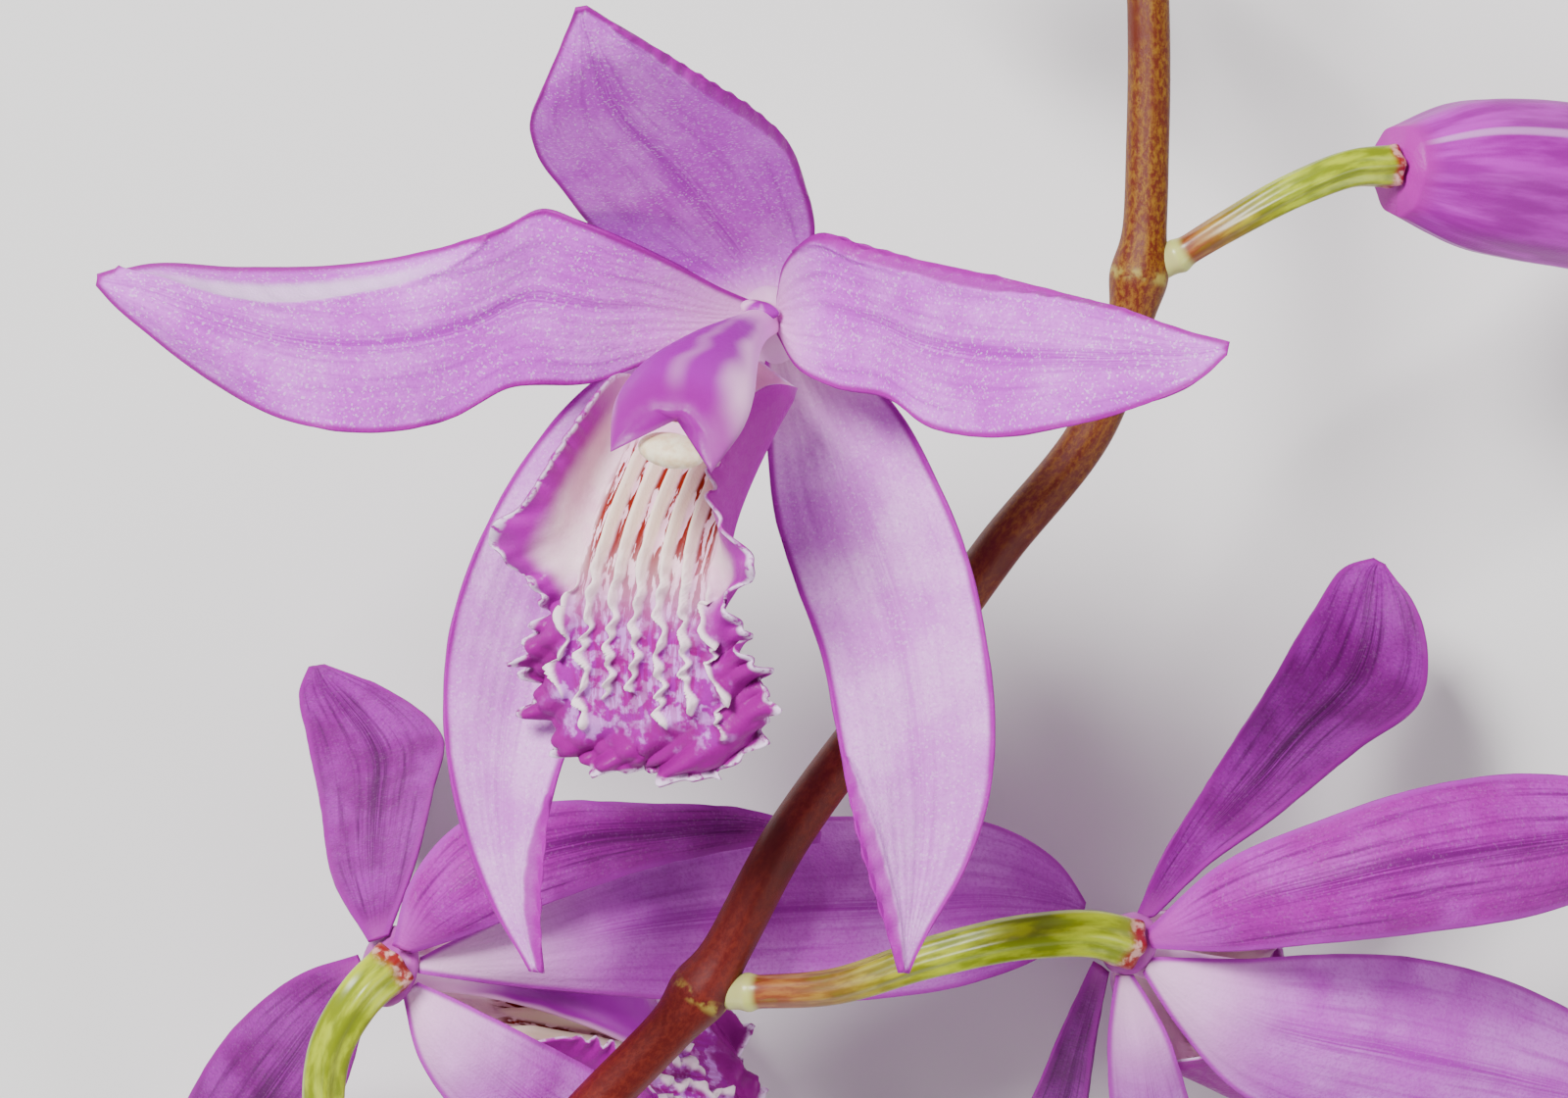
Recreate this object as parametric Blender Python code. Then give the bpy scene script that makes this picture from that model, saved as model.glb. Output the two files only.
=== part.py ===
"""Cut flowering stem of a bletilla orchid, lying on a surface: three open blooms, a closed bud and two
small buds on a zigzag stem. Lengths are in millimetres and become metres in solid()."""

import math

import bpy
import numpy as np

MM = 0.001

# The front bloom faces up, so outlines are drawn as seen from straight above it.
BLOOM_HEIGHT = 32.0
EYE_DISTANCE = 320.0
EYE = np.array([0.95, -10.2])
# The point of the surface that lies below the middle of the whole stem becomes the origin.
SURFACE = -3.8
MIDDLE = np.array([6.937, -27.905, SURFACE])

PETAL_THICKNESS = 0.6
LIP_THICKNESS = 0.6
KEEL_SPACING = 1.1
KEEL_COUNT = 5
KEEL_HEIGHT = 0.95
CRISP_WAVE = 0.55
CRISP_PITCH = 2.6

STEM_THICK = 2.6
STEM_THIN = 1.9
NODE_SWELLING = 0.35

FRONT_ROWS, BACK_ROWS, TEPAL_COLUMNS = 14, 11, 6

PINK = (0.62, 0.24, 0.66)
PALE_PINK = (0.72, 0.40, 0.76)
DARK_PINK = (0.45, 0.08, 0.48)
LIP_PINK = (0.78, 0.50, 0.76)
COLUMN_PINK = (0.60, 0.20, 0.60)
STEM_MAROON = (0.16, 0.05, 0.04)
STALK_GREEN = (0.40, 0.42, 0.10)
BUD_MAGENTA = (0.48, 0.07, 0.46)


def remove_everything():
    for thing in list(bpy.data.objects):
        bpy.data.objects.remove(thing, do_unlink=True)


def matte_material(name, colour, roughness):
    material = bpy.data.materials.new(name)
    material.use_nodes = True
    shader = material.node_tree.nodes["Principled BSDF"]
    shader.inputs["Base Color"].default_value = (*colour, 1.0)
    shader.inputs["Roughness"].default_value = roughness
    shader.inputs["Metallic"].default_value = 0.0
    return material


def unit(vector):
    return np.asarray(vector, float) / np.linalg.norm(vector)


def sighted(points):
    """Moves drawn points along their lines of sight to their own heights."""
    points = np.array(points, float)
    scale = (BLOOM_HEIGHT + EYE_DISTANCE - points[..., 2:]) / EYE_DISTANCE
    points[..., :2] = EYE + (points[..., :2] - EYE) * scale
    return points


def smooth(points, fractions):
    """Points of a smooth curve through the given ones, at fractions of its length."""
    points = np.asarray(points, float)
    steps = np.linalg.norm(np.diff(points, axis=0), axis=1)
    at = np.concatenate([[0.0], np.cumsum(steps)])
    at /= at[-1]
    slopes = np.gradient(points, at, axis=0)
    place = np.clip(np.searchsorted(at, fractions, side="right") - 1, 0, len(at) - 2)
    width = (at[place + 1] - at[place])[:, None]
    t = (np.asarray(fractions) - at[place])[:, None] / width
    return (
        (2 * t**3 - 3 * t**2 + 1) * points[place]
        + (t**3 - 2 * t**2 + t) * width * slopes[place]
        + (3 * t**2 - 2 * t**3) * points[place + 1]
        + (t**3 - t**2) * width * slopes[place + 1]
    )


def along(values, fractions):
    """Values at evenly spaced stations, read smoothly at the fractions."""
    values = np.asarray(values, float)
    stations = np.linspace(0, 1, len(values))
    slopes = np.gradient(values, stations, axis=0)
    place = np.clip(np.searchsorted(stations, fractions, side="right") - 1, 0, len(values) - 2)
    width = stations[1]
    shape = (-1,) + (1,) * (values.ndim - 1)
    t = ((np.asarray(fractions) - stations[place]) / width).reshape(shape)
    return (
        (2 * t**3 - 3 * t**2 + 1) * values[place]
        + (t**3 - 2 * t**2 + t) * width * slopes[place]
        + (3 * t**2 - 2 * t**3) * values[place + 1]
        + (t**3 - t**2) * width * slopes[place + 1]
    )


def signed_volume(points, faces):
    corners = points[np.asarray(faces)]
    return np.linalg.det(corners).sum()


def solid(name, points, faces, material):
    """One closed body from triangles, turned so that its faces point out."""
    points = np.asarray(points, float)
    if signed_volume(points - points.mean(axis=0), faces) < 0:
        faces = [face[::-1] for face in faces]
    mesh = bpy.data.meshes.new(name)
    mesh.from_pydata(((points - MIDDLE) * MM).tolist(), [], faces)
    mesh.shade_smooth()
    mesh.materials.append(material)
    thing = bpy.data.objects.new(name, mesh)
    bpy.context.scene.collection.objects.link(thing)
    return thing


def grid_normals(grid):
    down = np.gradient(grid, axis=0)
    across = np.gradient(grid, axis=1)
    normals = np.cross(across, down)
    return normals / np.linalg.norm(normals, axis=2, keepdims=True)


def blade(name, grid, thickness, material, relief=0.0):
    """A sheet of even thickness, split into triangles alike on both faces. The relief is raised
    from the face that the normals leave."""
    rows, columns = grid.shape[:2]
    normals = grid_normals(grid)
    raised = thickness / 2 + np.asarray(relief)
    front = grid + normals * (raised[..., None] if raised.ndim else raised)
    back = grid - normals * thickness / 2
    points = np.concatenate([front.reshape(-1, 3), back.reshape(-1, 3)])
    below = rows * columns
    faces = []
    for i in range(rows - 1):
        for j in range(columns - 1):
            a = i * columns + j
            b, c, d = a + 1, a + columns + 1, a + columns
            halves = [(a, b, c), (a, c, d)] if (i + j) % 2 else [(a, b, d), (b, c, d)]
            faces += halves
            faces += [tuple(below + k for k in half[::-1]) for half in halves]
    rim = list(range(columns))
    rim += [i * columns + columns - 1 for i in range(1, rows)]
    rim += [(rows - 1) * columns + j for j in range(columns - 2, -1, -1)]
    rim += [i * columns for i in range(rows - 2, 0, -1)]
    for a, b in zip(rim, rim[1:] + rim[:1]):
        faces += [(b, a, below + a), (b, below + a, below + b)]
    return solid(name, points, faces, material)


def tepal(name, one_side, other_side, heights, material, rows=BACK_ROWS, ruffle=0.25):
    """A petal or sepal from its two drawn margins. Each station of heights gives the levels of the
    first margin, the midrib and the second margin."""
    lengthwise = np.linspace(0, 1, rows)
    crosswise = np.linspace(-1, 1, TEPAL_COLUMNS + 1)
    first = smooth(one_side, lengthwise)[:, None]
    second = smooth(other_side, lengthwise)[:, None]
    levels = along(heights, lengthwise)[:, None]
    v = crosswise[None, :]
    plane = first * (1 - v[..., None]) / 2 + second * (1 + v[..., None]) / 2
    height = (
        levels[..., 0] * (v * v - v) / 2
        + levels[..., 1] * (1 - v * v)
        + levels[..., 2] * (v * v + v) / 2
    )
    swell = np.sin(math.pi * lengthwise)[:, None]
    wave = np.sin(2 * math.pi * (3.2 * lengthwise[:, None] + 0.3 * v))
    height = height + ruffle * swell * np.abs(v) ** 3 * wave
    grid = sighted(np.dstack([plane, height]))
    return blade(name, grid, PETAL_THICKNESS, material)


def frames_along(path, up):
    """Tangents and two sideways directions at each point of a path."""
    tangents = np.gradient(path, axis=0)
    tangents /= np.linalg.norm(tangents, axis=1, keepdims=True)
    across = np.cross(tangents, np.broadcast_to(up, tangents.shape))
    across /= np.linalg.norm(across, axis=1, keepdims=True)
    return tangents, across, np.cross(across, tangents)


def tube(name, path, section, sides, material, up=(0.0, 0.0, 1.0)):
    """A closed tube. section(fraction, angles) gives sideways and upward offsets of one ring."""
    path = np.asarray(path, float)
    fractions = np.linspace(0, 1, len(path))
    _, across, upward = frames_along(path, np.asarray(up, float))
    angles = np.arange(sides) * 2 * math.pi / sides
    rings = []
    for place, side, top, fraction in zip(path, across, upward, fractions):
        out, rise = section(fraction, angles)
        rings.append(place + out[:, None] * side + rise[:, None] * top)
    points = np.concatenate(rings + [path[:1], path[-1:]])
    first, last = len(points) - 2, len(points) - 1
    end = (len(path) - 1) * sides
    faces = []
    for i in range(len(path) - 1):
        for j in range(sides):
            k = (j + 1) % sides
            a, b = i * sides + j, i * sides + k
            c, d = a + sides, b + sides
            faces += [(a, b, d), (a, d, c)]
    for j in range(sides):
        k = (j + 1) % sides
        faces += [(k, j, first), (end + j, end + k, last)]
    return solid(name, points, faces, material)


def bloom_frame(facing, dorsal):
    """Rows are right, dorsal and forward directions of a bloom."""
    forward = unit(facing)
    up = unit(np.asarray(dorsal, float) - np.dot(dorsal, forward) * forward)
    return np.array([np.cross(up, forward), up, forward])


def lip_grid(rows, middle_steps, wall_steps, droop):
    """The lip in its own frame, with x across, y from base to apex and z towards the column, and
    how far its keels stand up. The side lobes stand beside the column, and the middle lobe bends
    down and is crisped."""
    length = 20.4
    half_widths = [1.1, 3.6, 5.6, 6.6, 7.1, 7.3, 7.3, 6.8, 4.8, 5.1, 5.8, 6.0, 5.3, 3.4]
    walls = np.radians([70, 84, 92, 96, 96, 92, 84, 66, 30, 4, -12, -22, -28, -32])
    bends = droop * np.radians([0, 2, 2, 0, -2, -6, -14, -26, -38, -46, -52, -54, -56, -58])
    fractions = np.linspace(0, 1, rows)
    widths = along(half_widths, fractions)
    wall = along(walls, fractions)
    bend = along(bends, fractions)
    step = length / (rows - 1)
    spine = np.cumsum([[0, 0]] + [[math.cos(b) * step, math.sin(b) * step] for b in bend[1:]], axis=0)
    keel_band = KEEL_SPACING * (KEEL_COUNT + 1) / 2
    fine = 40
    grid = np.zeros((rows, 2 * (middle_steps + wall_steps) + 1, 3))
    relief = np.zeros(grid.shape[:2])
    for i, fraction in enumerate(fractions):
        inner = min(keel_band, 0.72 * widths[i])
        reach = np.concatenate(
            [
                np.linspace(0, inner, middle_steps + 1),
                np.linspace(inner, widths[i], wall_steps + 1)[1:],
            ]
        )
        arc = np.linspace(0, widths[i], fine)
        turn = np.clip((arc - 2.3) / 2.6, 0, 1)
        heading = wall[i] * turn * turn * (3 - 2 * turn)
        across = np.concatenate([[0], np.cumsum(np.cos(heading[1:]) * np.diff(arc))])
        rise = np.concatenate([[0], np.cumsum(np.sin(heading[1:]) * np.diff(arc))])
        lobe = np.clip((fraction - 0.45) / 0.2, 0, 1)
        apex = np.clip((fraction - 0.8) / 0.2, 0, 1)
        for side in (-1, 1):
            for j, distance in enumerate(reach):
                column = middle_steps + wall_steps + side * j
                edge = max(np.clip(distance / widths[i], 0, 1) ** 3, apex * apex)
                phase = 2 * math.pi * (fraction * length + 0.8 * side * distance) / CRISP_PITCH
                crisp = CRISP_WAVE * lobe * edge * math.sin(phase)
                x = side * np.interp(distance, arc, across)
                z = np.interp(distance, arc, rise)
                normal_x = -side * math.sin(np.interp(distance, arc, heading))
                normal_z = math.cos(np.interp(distance, arc, heading))
                x += crisp * normal_x
                z += crisp * normal_z
                y = spine[i, 0] - z * math.sin(bend[i])
                grid[i, column] = (x, y, spine[i, 1] + z * math.cos(bend[i]))
                crest = 0.5 + 0.5 * math.cos(2 * math.pi * distance / KEEL_SPACING)
                within = 1.0 if distance < KEEL_SPACING * KEEL_COUNT / 2 else 0.0
                rise_along = np.clip((fraction - 0.2) / 0.25, 0, 1)
                rise_along *= np.clip((0.97 - fraction) / 0.1, 0, 1)
                relief[i, column] = KEEL_HEIGHT * rise_along * crest * within
    return grid, relief


def lip(name, base, axes, tilt, roll, droop, sweep, material, rows, middle_steps, wall_steps):
    """Places a lip: tilt turns it from the bloom's axis towards its lower side, roll about itself."""
    right, dorsal, forward = axes
    along_lip = math.cos(tilt) * forward - math.sin(tilt) * dorsal
    inward = math.sin(tilt) * forward + math.cos(tilt) * dorsal
    side = math.cos(roll) * right + math.sin(roll) * inward
    inward = math.cos(roll) * inward - math.sin(roll) * right
    along_lip = unit(along_lip - sweep * side)
    grid, relief = lip_grid(rows, middle_steps, wall_steps, droop)
    placed = base + grid @ np.array([side, along_lip, inward])
    # The inside of the trough is the side that the normals leave.
    return blade(name, placed[:, ::-1], LIP_THICKNESS, material, relief[:, ::-1])


def gynostemium(name, base, axes, material):
    """The column: a slim arched club with a winged, hooded end."""
    right, dorsal, forward = axes
    arch = [(0.0, 0.7), (0.9, 4.0), (1.5, 8.0), (1.5, 12.0), (0.7, 14.6), (0.1, 15.6)]
    path = smooth([base + up * dorsal + out * forward for up, out in arch], np.linspace(0, 1, 12))
    half_widths = [0.85, 0.95, 1.2, 1.6, 2.1, 2.6, 2.8, 2.2]
    half_depths = [0.85, 0.85, 0.95, 1.1, 1.2, 1.2, 1.0, 0.5]

    def section(fraction, angles):
        width = along(half_widths, [fraction])[0]
        depth = along(half_depths, [fraction])[0]
        hollow = np.where(np.sin(angles) < 0, 0.45, 1.0)
        return width * np.cos(angles), depth * hollow * np.sin(angles)

    return tube(name, path, section, 12, material, up=dorsal)


def stalk(name, points, start, end, material, rows=16):
    """A flower's stalk, which swells into the ribbed, slightly twisted ovary."""
    path = smooth(points, np.linspace(0, 1, rows))

    def section(fraction, angles):
        radius = start + (end - start) * fraction**1.5
        ribs = 1 + 0.09 * min(1.0, 2 * fraction) * np.cos(6 * angles)
        turned = angles + 0.6 * fraction
        return radius * ribs * np.cos(turned), radius * ribs * np.sin(turned)

    return tube(name, path, section, 12, material)


def bud(name, points, radii, material, rows=16):
    """A closed bud. Three sepals wrap it, and their edges stand up as ridges."""
    path = smooth(points, np.linspace(0, 1, rows))

    def section(fraction, angles):
        radius = along(radii, [fraction])[0]
        ridges = 1 + 0.10 * np.maximum(0, np.cos(3 * angles)) ** 4 - 0.04 * np.cos(6 * angles)
        return radius * ridges * np.cos(angles), 0.94 * radius * ridges * np.sin(angles)

    return tube(name, path, section, 18, material)


# The stem's own route, from the cut end to its tip, and the nodes that flowers leave from.
LEFT_NODE = (-15.4, -44.4, 13.0)
RIGHT_NODE = (-2.9, -30.5, 17.6)
FRONT_NODE = (6.5, -16.0, 19.8)
BUD_NODE = (17.1, 2.2, 20.5)
SMALL_BUD_NODE = (17.4, 17.5, 20.1)
STEM_ROUTE = (
    (-34.6, -83.0, SURFACE + 1.2),
    (-29.6, -72.6, 1.1),
    (-22.6, -58.6, 6.8),
    LEFT_NODE,
    (-8.2, -36.3, 15.8),
    RIGHT_NODE,
    (1.2, -23.2, 19.0),
    FRONT_NODE,
    (10.6, -10.3, 20.2),
    (15.2, -4.3, 20.4),
    BUD_NODE,
    (17.5, 8.6, 20.5),
    SMALL_BUD_NODE,
    (17.1, 21.2, 19.6),
)


def stem(material):
    fractions = np.linspace(0, 1, 66)
    path = smooth(STEM_ROUTE, fractions)
    nodes = np.array([LEFT_NODE, RIGHT_NODE, FRONT_NODE, BUD_NODE, SMALL_BUD_NODE])

    def section(fraction, angles):
        radius = (STEM_THICK + (STEM_THIN - STEM_THICK) * fraction) / 2
        place = path[int(round(fraction * (len(path) - 1)))]
        away = np.linalg.norm(nodes - place, axis=1).min()
        radius += NODE_SWELLING * math.exp(-((away / 1.3) ** 2))
        radius *= 1 - 0.25 * max(0.0, (fraction - 0.97) / 0.03)
        return radius * np.cos(angles), radius * np.sin(angles)

    return tube("stem", path, section, 10, material)


def front_bloom(materials):
    """The open bloom that faces up. Its lower sepals lie flat and its right petal and dorsal sepal
    rise."""
    z = BLOOM_HEIGHT
    facing = unit((-0.30, -0.35, 0.888))
    axes = bloom_frame(facing, (0.12, 0.92, 0.38))

    def level(*values):
        return [tuple(z + v for v in station) for station in values]

    tepal(
        "front_left_petal",
        [(-0.6, 0.4), (-1.9, 1.0), (-3.6, 1.9), (-5.9, 3.1), (-8.2, 4.2), (-9.5, 4.7), (-11.6, 3.8),
         (-14.5, 2.95), (-18.5, 2.35), (-23.0, 2.25), (-27.2, 2.35), (-29.2, 1.8)],
        [(-0.6, -0.7), (-2.4, -1.3), (-5.0, -2.0), (-7.4, -2.9), (-11.1, -3.15), (-13.7, -4.5),
         (-17.5, -5.1), (-21.0, -4.5), (-24.2, -2.8), (-27.0, -0.7), (-28.5, 0.6), (-29.2, 1.4)],
        level((-0.25, -0.25, -0.25), (3.5, 1.3, 0.2), (3.5, 2.2, 2.8), (1.6, 3.9, 4.6), (2.2, 5.2, 4.4),
              (5.0, 5.2, 5.0)),
        materials["petal"], FRONT_ROWS, 0.35,
    )
    tepal(
        "front_right_petal",
        [(0.7, 0.9), (1.0, 2.3), (2.3, 3.6), (4.4, 3.1), (7.8, 2.3), (12.0, 1.4), (16.0, 0.3),
         (19.0, -0.75), (20.5, -1.1)],
        [(0.7, -0.8), (1.6, -2.3), (3.1, -3.1), (5.5, -3.6), (7.2, -4.8), (9.6, -5.3), (13.0, -4.9),
         (16.4, -4.0), (19.3, -2.7), (20.4, -1.7)],
        level((0.3, 0.3, 0.3), (4.6, 3.6, 4.8), (7.6, 8.2, 9.6), (10.8, 12.2, 12.9), (13.6, 14.3, 14.6),
              (14.8, 14.8, 14.8)),
        materials["petal"], FRONT_ROWS, 0.35,
    )
    tepal(
        "front_dorsal_sepal",
        [(-0.5, 0.6), (-3.0, 1.6), (-5.6, 2.7), (-7.4, 3.9), (-8.7, 5.5), (-9.9, 7.2), (-10.2, 8.5),
         (-9.7, 9.9), (-8.8, 12.0), (-8.2, 13.5)],
        [(0.7, 0.4), (2.0, 2.0), (2.3, 3.8), (1.9, 5.7), (1.15, 7.6), (-0.2, 8.9), (-2.2, 10.2),
         (-4.4, 11.6), (-6.4, 12.8), (-7.7, 13.6)],
        level((-0.75, -0.75, -0.75), (-0.9, -0.1, 1.4), (1.5, 4.4, 6.8), (8.0, 10.8, 13.0),
         (14.6, 16.2, 16.8),
              (19.0, 19.0, 19.0)),
        materials["petal"], FRONT_ROWS, 0.2,
    )
    tepal(
        "front_left_sepal",
        [(-0.9, -0.1), (-4.6, -1.2), (-7.6, -3.0), (-10.2, -5.9), (-12.4, -9.8), (-13.8, -14.3),
         (-14.0, -17.1),
         (-13.4, -21.6), (-11.8, -26.0), (-10.2, -28.7)],
        [(-0.1, -0.7), (-2.6, -5.0), (-4.2, -8.2), (-5.6, -11.6), (-7.0, -15.0), (-8.2, -18.0),
         (-9.2, -21.0),
         (-9.7, -24.0), (-9.8, -26.8), (-9.6, -28.8)],
        level((-1.1, -1.1, -1.1), (-1.4, -1.9, -2.0), (-0.6, -1.4, -1.8), (0.2, -0.6, -0.4),
         (0.6, 0.2, 1.4),
              (0.4, 0.6, 0.8)),
        materials["pale"], FRONT_ROWS, 0.15,
    )
    tepal(
        "front_right_sepal",
        [(0.1, -0.75), (0.2, -5.0), (0.6, -8.9), (1.5, -11.8), (2.6, -14.8), (3.2, -17.8), (3.8, -20.9),
         (4.6, -24.0), (5.4, -26.6), (6.0, -28.8)],
        [(1.0, -0.1), (3.8, -1.9), (6.0, -4.2), (7.5, -6.9), (8.9, -10.2), (9.8, -14.1), (10.2, -18.0),
         (10.0, -20.8), (9.0, -24.0), (7.2, -27.2), (6.4, -28.8)],
        level((-0.75, -0.75, -0.75), (-1.0, -1.4, -0.2), (0.6, 0.0, 1.2), (2.2, 1.4, 2.2),
         (3.8, 2.2, 2.4),
              (3.0, 2.8, 2.6)),
        materials["pale"], FRONT_ROWS, 0.15,
    )
    base = sighted((0.1, -0.2, z))
    leaning = bloom_frame((-0.26, -0.38, 0.888), (0.12, 0.92, 0.38))
    gynostemium("front_column", base + 0.45 * facing, leaning, materials["column"])
    lip("front_lip", base + 1.5 * facing - 1.5 * axes[1] - 0.5 * axes[0], axes, math.radians(32),
        math.radians(14), 1.0, 0.07,
        materials["lip"], 30, 6, 5)
    stalk(
        "front_stalk",
        [(5.85, -14.2, 20.9), (5.2, -10.0, 21.4), (4.0, -3.8, 21.6), (3.0, 0.6, 23.2), (1.8, 1.6, 27.2),
         (0.75, 0.7, 30.3)],
        0.75, 1.15, materials["stalk"], 18,
    )


def right_bloom(materials):
    """The bloom at the right, seen from behind and facing down and away."""
    tepal(
        "right_dorsal_sepal",
        [(16.9, -26.9), (20.2, -24.0), (24.6, -22.1), (28.9, -20.7), (34.0, -20.1), (38.6, -20.9),
         (41.6, -22.6)],
        [(17.1, -27.7), (20.6, -27.8), (24.2, -27.5), (28.9, -27.0), (34.0, -26.2), (38.4, -24.6),
         (41.6, -23.2)],
        [(19.9, 19.9, 19.9), (22.0, 23.0, 22.0), (22.6, 24.4, 22.8), (21.6, 23.4, 21.8),
         (19.4, 20.2, 19.4), (16.4, 16.4, 16.4)],
        materials["back"],
    )
    tepal(
        "right_upper_petal",
        [(16.3, -26.5), (17.4, -24.0), (19.3, -20.8), (22.0, -16.6), (24.2, -12.9), (25.7, -10.9),
         (26.8, -10.6)],
        [(17.2, -26.3), (19.6, -24.0), (22.4, -22.0), (26.2, -18.9), (28.9, -16.8), (28.7, -12.8),
         (27.3, -10.9)],
        [(18.6, 18.6, 18.6), (17.0, 16.6, 17.2), (13.6, 13.2, 14.2), (10.0, 9.2, 11.0),
         (6.8, 6.4, 7.4), (5.4, 5.4, 5.4)],
        materials["back"],
    )
    tepal(
        "right_lower_petal",
        [(17.1, -28.1), (20.6, -28.2), (24.6, -28.0), (28.9, -28.2), (33.5, -29.5), (37.6, -32.0),
         (39.6, -34.8)],
        [(16.7, -28.8), (18.3, -31.2), (20.6, -33.8), (25.2, -35.9), (30.8, -36.9), (36.0, -36.6),
         (39.3, -35.3)],
        [(19.4, 19.4, 19.3), (18.0, 18.7, 17.2), (15.2, 16.6, 13.4), (12.4, 13.8, 10.8),
         (9.2, 10.0, 8.4), (6.2, 6.2, 6.2)],
        materials["pale"],
    )
    tepal(
        "right_lower_sepal",
        [(16.3, -28.9), (17.8, -31.6), (18.9, -35.0), (20.4, -38.8), (21.4, -42.0), (21.4, -45.0),
         (20.2, -47.2)],
        [(15.5, -28.9), (15.2, -31.6), (15.3, -35.0), (15.8, -38.8), (16.8, -42.2), (18.4, -45.2),
         (19.7, -47.3)],
        [(19.0, 19.0, 19.0), (17.8, 18.5, 17.7), (12.8, 13.8, 12.4), (6.6, 7.8, 6.2),
         (1.0, 1.8, 0.8), (-3.3, -3.3, -3.3)],
        materials["back"],
    )
    tepal(
        "right_outer_sepal",
        [(15.2, -28.8), (14.6, -31.8), (14.2, -34.8), (13.6, -38.0), (12.4, -41.2), (10.6, -43.6),
         (9.0, -44.6)],
        [(14.5, -28.3), (13.1, -31.4), (12.0, -34.0), (10.4, -36.8), (9.0, -39.6), (8.2, -42.2),
         (8.5, -44.3)],
        [(18.6, 18.6, 18.6), (14.4, 14.2, 15.2), (9.2, 8.6, 10.2), (4.0, 3.2, 4.8),
         (-0.4, -1.0, 0.0), (-3.3, -3.3, -3.3)],
        materials["back"],
    )
    facing = unit((0.60, -0.35, -0.72))
    axes = bloom_frame(facing, (0.78, 0.31, 0.44))
    base = sighted((15.7, -27.9, 18.2))
    gynostemium("right_column", base + 0.2 * facing, axes, materials["column"])
    lip("right_lip", base + 2.3 * facing - 1.95 * axes[1], axes, math.radians(-3), 0.0, 0.12, 0.0,
        materials["lip"], 19, 6, 3)
    stalk(
        "right_stalk",
        sighted([(-0.7, -29.65, 18.15), (3.1, -29.4, 19.6), (7.4, -28.1, 20.8), (11.7, -27.2, 21.4),
                 (14.6, -27.1, 21.0), (16.1, -27.5, 19.8)]),
        0.75, 1.15, materials["stalk"], 18,
    )


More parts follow.
